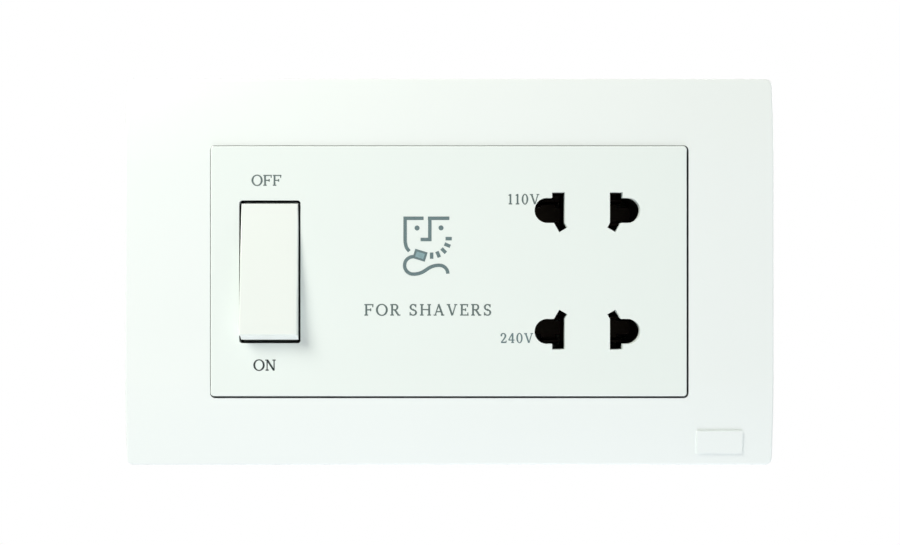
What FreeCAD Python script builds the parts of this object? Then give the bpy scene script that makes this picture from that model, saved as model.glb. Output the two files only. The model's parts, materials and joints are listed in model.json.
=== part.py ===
import FreeCAD, Part
import math
import os

# Two-voltage shaver socket on a double wall plate. Sizes are in millimetres, angles in degrees.
# X runs along the plate, Z is up, the front faces -Y and the wall is the plane Y = 0.
# The origin lies midway between the two wall-fixing holes.

# Front frame: a flat band across the middle, two convex bands falling to the edges
PLATE_WIDTH = 147.0
PLATE_HEIGHT = 88.0
PLATE_CORNER = 1.5
PLATE_EDGE = 0.5
FRAME_DEPTH = 9.0
FRAME_WALL = 2.2
FLAT_BAND_HEIGHT = 50.6
EDGE_DROP = 1.7
BAND_BULGE = 0.3
RETURN_WALL = 1.4
PAD_WIDTH = 10.4
PAD_HEIGHT = 5.2
PAD_PROUD = 0.3
PAD_INSET_X = 12.2
PAD_INSET_Z = 5.3
PAD_CORNER = 0.3
RIB_THICK = 1.2
RIB_CLEAR = 0.3
RIB_SPACING_Z = 28.0
LEVER_WIDTH = 8.0
LEVER_DEPTH = 1.0

# Snap hooks that hold the frame to the mounting plate
HOOK_SPACING = 70.0
HOOK_WIDTH = 6.0
HOOK_THICK = 1.3
HOOK_BITE = 0.8
HOOK_BARB = 1.0
HOOK_PLAY = 0.2

# Mounting plate with the two wall-fixing holes
MOUNT_SIDE_PLAY = 0.5
MOUNT_EDGE_PLAY = 2.3
MOUNT_THICK = 3.0
MOUNT_CORNER = 3.0
MOUNT_LEDGE = 1.5
POCKET_DEPTH = 1.2
POCKET_RIM = 2.0
POCKET_CORNER = 1.0
FIXING_LAND = 12.0
FIXING_SPACING = 120.6
FIXING_RADIUS = 2.1

# Socket panel let into the frame
PANEL_MARGIN = 2.85
PANEL_HEIGHT = 56.6
PANEL_CORNER = 0.8
PANEL_EDGE = 0.25
PANEL_PROUD = 0.3
PANEL_THICK = 2.5
PANEL_WALL = 2.0
PANEL_PLAY = 0.3
PANEL_SHIFT_X = -0.15
PANEL_SHIFT_Z = 0.15

# Pin holes: each takes a round pin, a straight flat pin and a slanted flat pin
SOCKET_INSET = 19.78
SOCKET_RISE = 0.2
SOCKET_PITCH = 27.4
PIN_INNER = 5.08
PIN_CENTRE = 9.1
PIN_RADIUS = 2.85
FLAT_PIN_WIDTH = 2.9
FLAT_PIN_REACH = 4.1
SLANT_WIDTH = 2.15
SLANT_LENGTH = 5.1
SLANT_ANGLE = 30.0
SLANT_START = 7.98

# Rocker switch
SWITCH_INSET = 10.43
WINDOW_WIDTH = 13.84
WINDOW_HEIGHT = 32.3
WINDOW_CORNER = 0.7
WINDOW_LIP = 1.0
WINDOW_RELIEF = 0.6
ROCKER_WIDTH = 13.0
ROCKER_RISE = 1.5
ROCKER_HALF_FACE = 14.88
ROCKER_END_DEPTH = 2.0
ROCKER_END_DRAFT = 0.15
ROCKER_FLARE_DEPTH = 1.1
ROCKER_SWEEP = 16.05
ROCKER_WALL = 1.4
ROCKER_EDGE = 0.25
ROCKER_BULGE = 0.15
ROCKER_SKIRT = 0.5
ROCKER_KEEL = 2.0
ROCKER_TILT = 6.0
PIVOT_BEHIND_FACE = 4.8
TRUNNION_RADIUS = 1.5
TRUNNION_LENGTH = 1.4
BEARING_PLAY = 0.05
POST_RADIUS = 2.4
POST_REACH = 6.5
PLUNGER_RADIUS = 1.45
PLUNGER_PLAY = 0.05
PLUNGER_LENGTH = 5.85
PLUNGER_REACH = 10.85
BORE_START = 1.0
SPRING_WIRE = 0.2
SPRING_RADIUS = 1.0
SPRING_TURNS = 5

# Switch body and contacts
COLLAR_WALL = 1.5
COLLAR_FLOOR = 1.0
COLLAR_DEPTH = 5.0
COLLAR_END_PLAY = 0.6
TUB_HALF_WIDTH = 6.5
TUB_HALF_HEIGHT = 14.6
TUB_WALL = 1.2
TUB_DEPTH = 14.2
FLOOR_SLOT_PLAY = 1.8
SEESAW_BEHIND_PIVOT = 12.0
SEESAW_THICK = 1.0
SEESAW_WIDTH = 5.0
SEESAW_LOWER = 8.0
SEESAW_UPPER = 11.0
SEESAW_TILT = 8.0
BEAD_RADIUS = 0.8
BUTTON_RADIUS = 1.5
BUTTON_HEIGHT = 0.8
BUTTON_ARM = 9.4
CONTACT_AIR = 0.1
BLADE_THICK = 0.8
SADDLE_HALF_HEIGHT = 2.0
SADDLE_RIM = 0.4
TAIL_WIDTH = 3.0
TAIL_REACH = 1.2
CLIP_WIDTH = 4.0
CLIP_THICK = 1.2
CLIP_BITE = 0.9
CLIP_BARB = 0.9
CLIP_PLAY = 0.2

# Contact carrier behind the pin holes
CARRIER_HALF_WIDTH = 13.2
CARRIER_HALF_HEIGHT = 19.6
CARRIER_DEPTH = 15.8
CARRIER_CLEAR = 0.4
CARRIER_CORNER = 0.8
CELL_INNER = 4.4
CELL_RADIUS = 3.4
CELL_REACH = 5.2
PILLAR_SPACING = 14.4
PILLAR_RADIUS = 2.6
PILLAR_LENGTH = 5.0
PILLAR_PLAY = 0.2

# Sprung contacts: a folded clip with two leaves that nip the pin
LEAF_THICK = 0.5
LEAF_WIDTH = 3.6
LEAF_START = 5.6
LEAF_NIP = 2.45
LEAF_MOUTH = 2.8
LEAF_ROOT = 2.9
LEAF_LENGTH = 7.8
LEAF_NIP_DEPTH = 5.5
LEAF_BEND = 0.6
STRAP_HALF_HEIGHT = 1.6
STRAP_INNER = 2.4
STRAP_OUTER = 12.9
TAG_LENGTH = 3.6
LINK_WIDTH = 3.0
LINK_THICK = 0.8
LINK_OVERHANG = 1.2

# Rear housing
HOUSING_WIDTH = 102.0
HOUSING_HEIGHT = 52.0
HOUSING_WALL = 2.0
HOUSING_EDGE = 1.2
HOUSING_FRONT = 0.5
HOUSING_PLAY = 0.4
STEP_WIDTH = 13.5
STEP_DEPTH = 20.0
NOTCH = 6.6
LUG_THICK = 3.0
FLANGE_REACH = 3.0
FLANGE_THICK = 2.2
VENT_WIDTH = 2.0
VENT_LENGTH = 12.0
VENT_PITCH = 5.0
VENT_COUNT = 6

# Screws
SCREW_RADIUS = 1.45
SCREW_PLAY = 0.05
SCREW_HOLE_PLAY = 0.25
HEAD_RADIUS = 2.4
HEAD_HEIGHT = 1.8
HEAD_ROUND = 0.45
DRIVE_RADIUS = 1.1
DRIVE_WIDTH = 0.5
DRIVE_DEPTH = 0.9
BOSS_RADIUS = 2.8
BOSS_BOTTOM = 1.0

# Transformer: laminations lie parallel to the wall, limbs upright
LEAD_ROOM = 6.07
CORE_ROOM = 4.02
CORE_STACK = 18.0
COIL_FRONT = 2.5
BOBBIN_WALL = 0.9
BOBBIN_PLAY = 0.2
FLANGE_WALL = 1.2
COIL_AIR = 0.5
COIL_BACK_ROOM = 1.5
COIL_CLEAR = 0.4
COIL_ROUND = 1.6
PIN_TAG_RADIUS = 0.35
PIN_TAG_LENGTH = 4.0
PIN_TAG_SEAT = 1.5
PIN_TAG_PLAY = 0.02
TAG_PITCH = 8.0
CLAMP_THICK = 0.8
CLAMP_WIDTH = 5.6
CLAMP_FOOT = 6.0
CLAMP_BEND = 1.0
CLAMP_SEAT = 3.0
CLAMP_PLAY = 0.25
CUTOUT_LENGTH = 8.0
CUTOUT_WIDTH = 4.4
CUTOUT_THICK = 2.4

# Supply terminals in the step at the back
TERMINAL_PITCH = 11.0
TERMINAL_SIZE = 7.0
TERMINAL_DEPTH = 9.0
TERMINAL_BORE = 1.6
TERMINAL_TAIL = 5.6
TERMINAL_BASE = 2.0
TERMINAL_FENCE = 1.4
TERMINAL_PLAY = 0.1
TERMINAL_INSET = 1.2
TERMINAL_SETBACK = 1.2
TERMINAL_SCREW_INSET = 1.8

# Insulated leads
LEAD_RADIUS = 0.7
LEAD_BEND = 1.5
LEAD_GAP = 0.1
LEAD_LAYER = 2.4
LEAD_PITCH = 1.6
CHANNEL_Z = (-2.0, -6.0, -10.0)

# Limits for picking edges by their direction and place
PARALLEL_ANGLE = 2.0
IN_PLANE = 1e-3
PARALLEL = math.cos(math.radians(PARALLEL_ANGLE))

X_AXIS = FreeCAD.Vector(1, 0, 0)
Y_AXIS = FreeCAD.Vector(0, 1, 0)
Z_AXIS = FreeCAD.Vector(0, 0, 1)
MIRRORED = (-1, 1)

# Widths and places that follow from the driving sizes
MOUNT_WIDTH = PLATE_WIDTH - 2 * (FRAME_WALL + MOUNT_SIDE_PLAY)
MOUNT_HEIGHT = PLATE_HEIGHT - 2 * (FRAME_WALL + MOUNT_EDGE_PLAY)
PANEL_WIDTH = HOUSING_WIDTH + 2 * PANEL_MARGIN
ROCKER_X = -HOUSING_WIDTH / 2 + SWITCH_INSET
SOCKET_X = HOUSING_WIDTH / 2 - SOCKET_INSET

# The transformer fills the room between the switch and the contact carrier. Its laminations have the
# usual proportions of an E and I pair, so that each pair is stamped from one strip without scrap.
CORE_LEFT = ROCKER_X + TUB_HALF_WIDTH + LEAD_ROOM
CORE_RIGHT = SOCKET_X - CARRIER_HALF_WIDTH - CORE_ROOM
CORE_X = (CORE_LEFT + CORE_RIGHT) / 2
CORE_WIDTH = CORE_RIGHT - CORE_LEFT
LIMB = CORE_WIDTH / 3
CORE_WINDOW = LIMB / 2
WINDOW_LENGTH = LIMB + CORE_WINDOW
COIL_BUILD = CORE_WINDOW - BOBBIN_PLAY - BOBBIN_WALL - COIL_AIR
CORE_FRONT = COIL_FRONT + COIL_BUILD + BOBBIN_WALL + BOBBIN_PLAY
CORE_BACK = CORE_FRONT + CORE_STACK
CORE_MIDDLE = CORE_FRONT + CORE_STACK / 2
HOUSING_FLOOR_Y = CORE_BACK + BOBBIN_PLAY + BOBBIN_WALL + COIL_BUILD + COIL_BACK_ROOM
HOUSING_DEPTH = HOUSING_FLOOR_Y + HOUSING_WALL

# Planes that the pieces share
FRAME_FACE_Y = -FRAME_DEPTH
PANEL_FACE_Y = FRAME_FACE_Y - PANEL_PROUD
PANEL_BACK_Y = PANEL_FACE_Y + PANEL_THICK
PIVOT_Y = PANEL_FACE_Y + PIVOT_BEHIND_FACE
CARRIER_BACK_Y = PANEL_BACK_Y + CARRIER_DEPTH
COLLAR_BACK_Y = PANEL_BACK_Y + COLLAR_DEPTH + COLLAR_FLOOR
TUB_BACK_Y = COLLAR_BACK_Y + TUB_DEPTH
SEESAW_Y = PIVOT_Y + SEESAW_BEHIND_PIVOT
LUG_BACK_Y = LUG_THICK - HOUSING_FRONT
STEP_X = -HOUSING_WIDTH / 2 + STEP_WIDTH
BOSS_X = (HOUSING_WIDTH - NOTCH) / 2
BOSS_Z = (HOUSING_HEIGHT - NOTCH) / 2
PILOT_RADIUS = SCREW_RADIUS + SCREW_PLAY
SCREW_HOLE_RADIUS = SCREW_RADIUS + SCREW_HOLE_PLAY
FIXED_TAIL_Z = BUTTON_ARM + BUTTON_RADIUS
BOBBIN_HALF = WINDOW_LENGTH / 2 - BOBBIN_PLAY
FLANGE_OUT = CORE_WINDOW - COIL_CLEAR
COIL_TAG_Y = CORE_FRONT - FLANGE_OUT + PIN_TAG_SEAT - PIN_TAG_LENGTH
CUTOUT_Z = (BOBBIN_HALF - FLANGE_WALL / 2) / 2
CLAMP_SEAT_Y = CORE_BACK + CLAMP_SEAT
TERMINAL_X = -HOUSING_WIDTH / 2 + TERMINAL_INSET + TERMINAL_SETBACK
TERMINAL_FRONT_Y = STEP_DEPTH + TERMINAL_BASE
TERMINAL_TAIL_Y = TERMINAL_FRONT_Y - TERMINAL_TAIL
TERMINAL_BORE_Y = TERMINAL_FRONT_Y + TERMINAL_SIZE / 2
TERMINAL_SCREW_X = TERMINAL_X + TERMINAL_SIZE - TERMINAL_SCREW_INSET


def vec(x, y, z):
    return FreeCAD.Vector(x, y, z)


def box(x0, x1, y0, y1, z0, z1):
    return Part.makeBox(x1 - x0, y1 - y0, z1 - z0, vec(x0, y0, z0))


def rod(start, axis, radius, length):
    return Part.makeCylinder(radius, length, start, axis)


def prism(points, sweep):
    outline = Part.makePolygon(points + [points[0]])
    return Part.Face(outline).extrude(sweep)


def edges_along(shape, axis):
    return [edge for edge in shape.Edges
            if isinstance(edge.Curve, Part.Line) and abs(edge.Curve.Direction.dot(axis)) > PARALLEL]


def rounded_block(width, height, corner, y0, y1, x=0.0, z=0.0):
    block = box(x - width / 2, x + width / 2, y0, y1, z - height / 2, z + height / 2)
    return block.makeFillet(corner, edges_along(block, Y_AXIS))


def edges_at_depth(shape, y):
    return [edge for edge in shape.Edges
            if abs(edge.BoundBox.YMin - y) < IN_PLANE and abs(edge.BoundBox.YMax - y) < IN_PLANE]


def fuse(first, others):
    return first.multiFuse(list(others)).removeSplitter()


def rounded_edges(points, radii):
    # Straight runs joined by tangent arcs, one radius for each inner point
    edges = []
    start = points[0]
    for index, radius in enumerate(radii, 1):
        corner = points[index]
        back = (points[index - 1] - corner).normalize()
        ahead = (points[index + 1] - corner).normalize()
        half_turn = (math.pi - back.getAngle(ahead)) / 2
        reach = radius * math.tan(half_turn)
        inward = (back + ahead).normalize()
        crown = corner + inward * (radius / math.cos(half_turn) - radius)
        arc_start = corner + back * reach
        arc_end = corner + ahead * reach
        edges.append(Part.LineSegment(start, arc_start).toShape())
        edges.append(Part.Arc(arc_start, crown, arc_end).toShape())
        start = arc_end
    edges.append(Part.LineSegment(start, points[-1]).toShape())
    return edges


def offset_points(points, normal, shift):
    # The same path moved sideways in its plane, with mitred corners
    moved = []
    for index, point in enumerate(points):
        before = points[max(index - 1, 0)]
        after = points[min(index + 1, len(points) - 1)]
        arriving = point - before if index else after - point
        leaving = after - point if index < len(points) - 1 else arriving
        side_in = normal.cross(vec(*arriving).normalize())
        side_out = normal.cross(vec(*leaving).normalize())
        moved.append(point + (side_in + side_out) * (shift / (1 + side_in.dot(side_out))))
    return moved


def bent_strip(points, normal, thick, bend, width):
    # Sheet metal of one thickness folded along a path; the width runs along the normal
    radii_left = []
    radii_right = []
    for before, corner, after in zip(points, points[1:], points[2:]):
        turn = math.copysign(thick / 2, (corner - before).cross(after - corner).dot(normal))
        radii_left.append(bend - turn)
        radii_right.append(bend + turn)
    left = offset_points(points, normal, thick / 2)
    right = offset_points(points, normal, -thick / 2)
    edges = rounded_edges(left, radii_left) + rounded_edges(right, radii_right)
    edges.append(Part.LineSegment(left[0], right[0]).toShape())
    edges.append(Part.LineSegment(left[-1], right[-1]).toShape())
    outline = Part.Wire(Part.__sortEdges__(edges))
    sheet = Part.Face(outline).extrude(normal * width)
    return sheet.translated(normal * (-width / 2))


def screw(x, seat_y, z, length, way):
    # Pan-head screw with a cross drive, along Y; way is +1 where the tip points to +Y
    crown = HEAD_HEIGHT * HEAD_ROUND
    inset = crown * (1 - math.cos(math.pi / 4))
    profile = Part.Wire([
        Part.LineSegment(vec(0, -HEAD_HEIGHT, 0), vec(HEAD_RADIUS - crown, -HEAD_HEIGHT, 0)).toShape(),
        Part.Arc(vec(HEAD_RADIUS - crown, -HEAD_HEIGHT, 0),
                 vec(HEAD_RADIUS - inset, -HEAD_HEIGHT + inset, 0),
                 vec(HEAD_RADIUS, -HEAD_HEIGHT + crown, 0)).toShape(),
        Part.makePolygon([vec(HEAD_RADIUS, -HEAD_HEIGHT + crown, 0), vec(HEAD_RADIUS, 0, 0),
                          vec(SCREW_RADIUS, 0, 0), vec(SCREW_RADIUS, length, 0), vec(0, length, 0),
                          vec(0, -HEAD_HEIGHT, 0)]),
    ])
    body = Part.Face(profile).revolve(vec(0, 0, 0), Y_AXIS, 360)
    bottom = -HEAD_HEIGHT + DRIVE_DEPTH
    for half_x, half_z in ((DRIVE_RADIUS, DRIVE_WIDTH / 2), (DRIVE_WIDTH / 2, DRIVE_RADIUS)):
        body = body.cut(box(-half_x, half_x, -2 * HEAD_HEIGHT, bottom, -half_z, half_z))
    if way < 0:
        body = body.mirror(vec(0, 0, 0), Y_AXIS)
    return body.translated(vec(x, seat_y, z))


def save(shape, name):
    solids = shape.Solids
    whole = solids[0] if len(solids) == 1 else Part.makeCompound(solids)
    whole.exportStep("parts/" + name + ".step")


def frame_outline(half_height, depth):
    # Section of the front frame: flat middle, one convex arc above and one below
    crease = FLAT_BAND_HEIGHT / 2
    edge_y = -depth + EDGE_DROP
    rise = vec(0, edge_y + depth, half_height - crease)
    outward = vec(0, -rise.z, rise.y).normalize()
    crown_top = vec(0, (edge_y - depth) / 2, (half_height + crease) / 2) + outward * BAND_BULGE
    crown_low = vec(0, crown_top.y, -crown_top.z)
    wall_low = vec(0, 0, -half_height)
    edge_low = vec(0, edge_y, -half_height)
    crease_low = vec(0, -depth, -crease)
    crease_top = vec(0, -depth, crease)
    edge_top = vec(0, edge_y, half_height)
    wall_top = vec(0, 0, half_height)
    return Part.Wire([
        Part.LineSegment(wall_low, edge_low).toShape(),
        Part.Arc(edge_low, crown_low, crease_low).toShape(),
        Part.LineSegment(crease_low, crease_top).toShape(),
        Part.Arc(crease_top, crown_top, edge_top).toShape(),
        Part.LineSegment(edge_top, wall_top).toShape(),
        Part.LineSegment(wall_top, wall_low).toShape(),
    ])


def frame_blank(width, half_height, depth):
    face = Part.Face(frame_outline(half_height, depth))
    return face.extrude(X_AXIS * width).translated(X_AXIS * (-width / 2))


def snap_hook(x, side):
    # Cantilever standing back from the frame, with a barb behind the mounting plate's ledge
    root_z = MOUNT_HEIGHT / 2 + HOOK_PLAY
    barb_y = -MOUNT_THICK + MOUNT_LEDGE + HOOK_PLAY
    tip_y = barb_y + HOOK_BARB
    profile = [
        vec(x - HOOK_WIDTH / 2, FRAME_FACE_Y, side * root_z),
        vec(x - HOOK_WIDTH / 2, barb_y, side * root_z),
        vec(x - HOOK_WIDTH / 2, barb_y, side * (root_z - HOOK_BITE)),
        vec(x - HOOK_WIDTH / 2, tip_y, side * root_z),
        vec(x - HOOK_WIDTH / 2, tip_y, side * (root_z + HOOK_THICK)),
        vec(x - HOOK_WIDTH / 2, FRAME_FACE_Y, side * (root_z + HOOK_THICK)),
    ]
    return prism(profile, X_AXIS * HOOK_WIDTH)


def is_rim(edge):
    # Front outer edge of the frame: neither at the wall, nor along the depth, nor a crease
    straight = isinstance(edge.Curve, Part.Line)
    along_depth = straight and abs(edge.Curve.Direction.y) > PARALLEL
    crease = straight and abs(abs(edge.CenterOfMass.z) - FLAT_BAND_HEIGHT / 2) < IN_PLANE
    return edge.BoundBox.YMin < -IN_PLANE and not along_depth and not crease


def make_front_frame():
    blank = frame_blank(PLATE_WIDTH, PLATE_HEIGHT / 2, FRAME_DEPTH)
    blank = blank.makeFillet(PLATE_CORNER, edges_along(blank, Y_AXIS))
    blank = blank.makeFillet(PLATE_EDGE, [edge for edge in blank.Edges if is_rim(edge)])
    hollow = frame_blank(PLATE_WIDTH - 2 * FRAME_WALL, PLATE_HEIGHT / 2 - FRAME_WALL,
                         FRAME_DEPTH - FRAME_WALL)
    window_width = PANEL_WIDTH + 2 * PANEL_PLAY
    window_height = PANEL_HEIGHT + 2 * PANEL_PLAY
    window_corner = PANEL_CORNER + PANEL_PLAY
    window = rounded_block(window_width, window_height, window_corner, FRAME_FACE_Y - 1, 1)
    collar = rounded_block(window_width + 2 * RETURN_WALL, window_height + 2 * RETURN_WALL,
                           window_corner + RETURN_WALL, FRAME_FACE_Y - 1, -MOUNT_THICK)
    hooks = [snap_hook(x * HOOK_SPACING / 2, side) for x in MIRRORED for side in MIRRORED]
    inner = fuse(collar, hooks + frame_ribs()).common(blank)
    lever = box(-LEVER_WIDTH / 2, LEVER_WIDTH / 2, -LEVER_DEPTH, 0,
                -PLATE_HEIGHT / 2, FRAME_WALL - PLATE_HEIGHT / 2)
    frame = fuse(blank.cut(hollow), [inner]).cut(Part.makeCompound([window, lever]))
    return fuse(frame, [raised_pad(blank)])


def frame_ribs():
    # Webs behind the bands, clear of the hooks and of the wall-fixing screws
    back_y = -MOUNT_THICK - RIB_CLEAR
    half = RIB_THICK / 2
    upright = [box(x - half, x + half, FRAME_FACE_Y, back_y, -PLATE_HEIGHT / 2, PLATE_HEIGHT / 2)
               for x in (-HOOK_SPACING / 4, HOOK_SPACING / 4)]
    level = [box(-PLATE_WIDTH / 2, PLATE_WIDTH / 2, FRAME_FACE_Y, back_y, z - half, z + half)
             for z in (-RIB_SPACING_Z / 2, RIB_SPACING_Z / 2)]
    return upright + level


def raised_pad(blank):
    # Small raised pad near the lower right corner, following the convex band
    x = PLATE_WIDTH / 2 - PAD_INSET_X
    z = -PLATE_HEIGHT / 2 + PAD_INSET_Z
    post = rounded_block(PAD_WIDTH, PAD_HEIGHT, PAD_CORNER, FRAME_FACE_Y, -FRAME_WALL, x, z)
    raised = blank.translated(Y_AXIS * -PAD_PROUD)
    core = frame_blank(PLATE_WIDTH, PLATE_HEIGHT / 2, FRAME_DEPTH - FRAME_WALL / 2)
    return post.common(raised).cut(core)


def make_mounting_plate():
    plate = rounded_block(MOUNT_WIDTH, MOUNT_HEIGHT, MOUNT_CORNER, -MOUNT_THICK, 0)
    window = box(-HOUSING_WIDTH / 2 - HOUSING_PLAY, HOUSING_WIDTH / 2 + HOUSING_PLAY, -MOUNT_THICK, 0,
                 -HOUSING_HEIGHT / 2 - HOUSING_PLAY, HOUSING_HEIGHT / 2 + HOUSING_PLAY)
    cuts = [window]
    for side in MIRRORED:
        cuts.append(rod(vec(side * FIXING_SPACING / 2, -MOUNT_THICK, 0), Y_AXIS, FIXING_RADIUS, MOUNT_THICK))
        for x in MIRRORED:
            notch_x = x * HOOK_SPACING / 2
            reach = HOOK_WIDTH / 2 + HOOK_PLAY
            notch_z = sorted((side * (MOUNT_HEIGHT / 2 - HOOK_BITE), side * MOUNT_HEIGHT / 2))
            cuts.append(box(notch_x - reach, notch_x + reach, -MOUNT_THICK + MOUNT_LEDGE, 0, *notch_z))
    return plate.cut(Part.makeCompound(cuts + mount_pockets()))


def mount_pockets():
    # Shallow pockets in the back that keep the wall even, round the housing's flange
    inner_x = HOUSING_WIDTH / 2 + FLANGE_REACH + POCKET_RIM
    outer_x = MOUNT_WIDTH / 2 - POCKET_RIM
    inner_z = HOUSING_HEIGHT / 2 + FLANGE_REACH + POCKET_RIM
    outer_z = MOUNT_HEIGHT / 2 - POCKET_RIM
    side_height = outer_z - FIXING_LAND / 2
    pockets = []
    for up in MIRRORED:
        pockets.append(rounded_block(HOOK_SPACING - 2 * HOOK_WIDTH, outer_z - inner_z, POCKET_CORNER,
                                     -POCKET_DEPTH, 0, 0, up * (inner_z + outer_z) / 2))
        for side in MIRRORED:
            pockets.append(rounded_block(outer_x - inner_x, side_height, POCKET_CORNER, -POCKET_DEPTH, 0,
                                         side * (inner_x + outer_x) / 2, up * (outer_z - side_height / 2)))
    return pockets


def pin_hole(side, up):
    # Outline of one pin hole about its socket's centre, as a solid through the panel
    y0 = PANEL_FACE_Y - 1
    depth = PANEL_THICK + 2
    square = box(PIN_INNER, PIN_CENTRE, y0, y0 + depth, -PIN_RADIUS, PIN_RADIUS)
    round_pin = rod(vec(PIN_CENTRE, y0, 0), Y_AXIS, PIN_RADIUS, depth)
    flat_pin = box(PIN_INNER, PIN_INNER + FLAT_PIN_WIDTH, y0, y0 + depth, 0, FLAT_PIN_REACH)
    slant = box(-SLANT_WIDTH / 2, SLANT_WIDTH / 2, y0, y0 + depth, -SLANT_LENGTH, 0)
    slant.rotate(vec(0, 0, 0), Y_AXIS, SLANT_ANGLE)
    slant.translate(vec(SLANT_START, 0, 0))
    hole = fuse(square, [round_pin, flat_pin, slant])
    return place_at_socket(hole, side, up)


def place_at_socket(shape, side, up):
    # A form drawn for the upper right pin, moved to any of the four pins
    if side < 0:
        shape = shape.mirror(vec(0, 0, 0), X_AXIS)
    if up < 0:
        shape = shape.mirror(vec(0, 0, 0), Z_AXIS)
    return shape.translated(vec(SOCKET_X, 0, SOCKET_RISE + up * SOCKET_PITCH / 2))


def panel_clip(side):
    # Hook behind the panel that holds the switch body's shoulder
    root_z = WINDOW_HEIGHT / 2 + COLLAR_END_PLAY + COLLAR_WALL + CLIP_PLAY
    barb_y = COLLAR_BACK_Y + CLIP_PLAY / 2
    tip_y = barb_y + CLIP_BARB
    x0 = ROCKER_X + CLIP_PLAY
    profile = [
        vec(x0, PANEL_BACK_Y - PANEL_THICK / 2, side * root_z),
        vec(x0, barb_y, side * root_z),
        vec(x0, barb_y, side * (root_z - CLIP_BITE)),
        vec(x0, tip_y, side * root_z),
        vec(x0, tip_y, side * (root_z + CLIP_THICK)),
        vec(x0, PANEL_BACK_Y - PANEL_THICK / 2, side * (root_z + CLIP_THICK)),
    ]
    return prism(profile, X_AXIS * CLIP_WIDTH)


def make_socket_panel():
    # The panel's outline lies a little up and to the left in the frame's window
    block = rounded_block(PANEL_WIDTH, PANEL_HEIGHT, PANEL_CORNER, PANEL_FACE_Y, -MOUNT_THICK,
                          PANEL_SHIFT_X, PANEL_SHIFT_Z)
    block = block.makeFillet(PANEL_EDGE, edges_at_depth(block, PANEL_FACE_Y))
    hollow = box(-PANEL_WIDTH / 2 + PANEL_WALL, PANEL_WIDTH / 2 - PANEL_WALL, PANEL_BACK_Y, 0,
                 -PANEL_HEIGHT / 2 + PANEL_WALL, PANEL_HEIGHT / 2 - PANEL_WALL)
    hollow.translate(vec(PANEL_SHIFT_X, 0, PANEL_SHIFT_Z))
    boss_length = -HOUSING_FRONT - PANEL_BACK_Y
    bosses = [rod(vec(x * BOSS_X, PANEL_BACK_Y, z * BOSS_Z), Y_AXIS, BOSS_RADIUS, boss_length)
              for x in MIRRORED for z in MIRRORED]
    pillars = [rod(place, Y_AXIS, PILLAR_RADIUS, PILLAR_LENGTH) for place in pillar_places(PANEL_BACK_Y)]
    clips = [panel_clip(side) for side in MIRRORED]
    panel = fuse(block.cut(hollow), bosses + pillars + clips)
    cuts = [pin_hole(side, up) for side in MIRRORED for up in MIRRORED]
    cuts.append(rounded_block(WINDOW_WIDTH, WINDOW_HEIGHT, WINDOW_CORNER, PANEL_FACE_Y - 1, PANEL_BACK_Y,
                              ROCKER_X))
    cuts.append(rounded_block(WINDOW_WIDTH, WINDOW_HEIGHT + 2 * WINDOW_RELIEF, WINDOW_CORNER,
                              PANEL_FACE_Y + WINDOW_LIP, PANEL_BACK_Y, ROCKER_X))
    pilot_y = PANEL_BACK_Y + BOSS_BOTTOM
    cuts += [rod(vec(x * BOSS_X, pilot_y, z * BOSS_Z), Y_AXIS, PILOT_RADIUS, -pilot_y)
             for x in MIRRORED for z in MIRRORED]
    cuts += [rod(place, Y_AXIS, PILOT_RADIUS, PILLAR_LENGTH) for place in pillar_places(PANEL_BACK_Y)]
    return panel.cut(Part.makeCompound(cuts))


def pillar_places(y):
    return [vec(SOCKET_X + side * PILLAR_SPACING / 2, y, SOCKET_RISE) for side in MIRRORED]


def at_switch(shape):
    return shape.translated(vec(ROCKER_X, 0, 0))


def tilted(shape, pivot_y, angle):
    # Turned about an axis along X at the given depth
    return shape.rotated(vec(0, pivot_y, 0), X_AXIS, angle)


def rocker_blank(wall, back):
    # Rocker section: slightly crowned face, steep ends, a flare to arcs about the pivot, open keel
    front = PIVOT_BEHIND_FACE + ROCKER_RISE - wall
    shoulder = PIVOT_BEHIND_FACE + ROCKER_RISE - ROCKER_END_DEPTH - wall / 2
    flare = shoulder - ROCKER_FLARE_DEPTH
    half = ROCKER_HALF_FACE - wall
    radius = ROCKER_SWEEP - wall
    sweep = math.sqrt(radius ** 2 - flare ** 2)
    low = math.sqrt(radius ** 2 - ROCKER_SKIRT ** 2)
    middle = (math.asin(flare / radius) - math.asin(ROCKER_SKIRT / radius)) / 2
    half_width = ROCKER_WIDTH / 2 - wall
    keel = TRUNNION_RADIUS * 2

    def point(y, z):
        return vec(-half_width, PIVOT_Y + y, z)

    def end_edges(side):
        steep = Part.makePolygon([point(-front, side * half),
                                  point(-shoulder, side * (half + ROCKER_END_DRAFT)),
                                  point(-flare, side * sweep)])
        crown = point(-radius * math.sin(middle), side * radius * math.cos(middle))
        arc = Part.Arc(point(-flare, side * sweep), crown, point(ROCKER_SKIRT, side * low))
        return steep.Edges + [arc.toShape()]

    face = Part.Arc(point(-front, -half), point(-front - ROCKER_BULGE, 0), point(-front, half)).toShape()
    under = Part.makePolygon([point(ROCKER_SKIRT, low), point(back, keel), point(back, -keel),
                              point(ROCKER_SKIRT, -low)])
    edges = [face] + end_edges(1) + end_edges(-1) + under.Edges
    outline = Part.Wire(Part.__sortEdges__(edges))
    return Part.Face(outline).extrude(X_AXIS * (2 * half_width))


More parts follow.
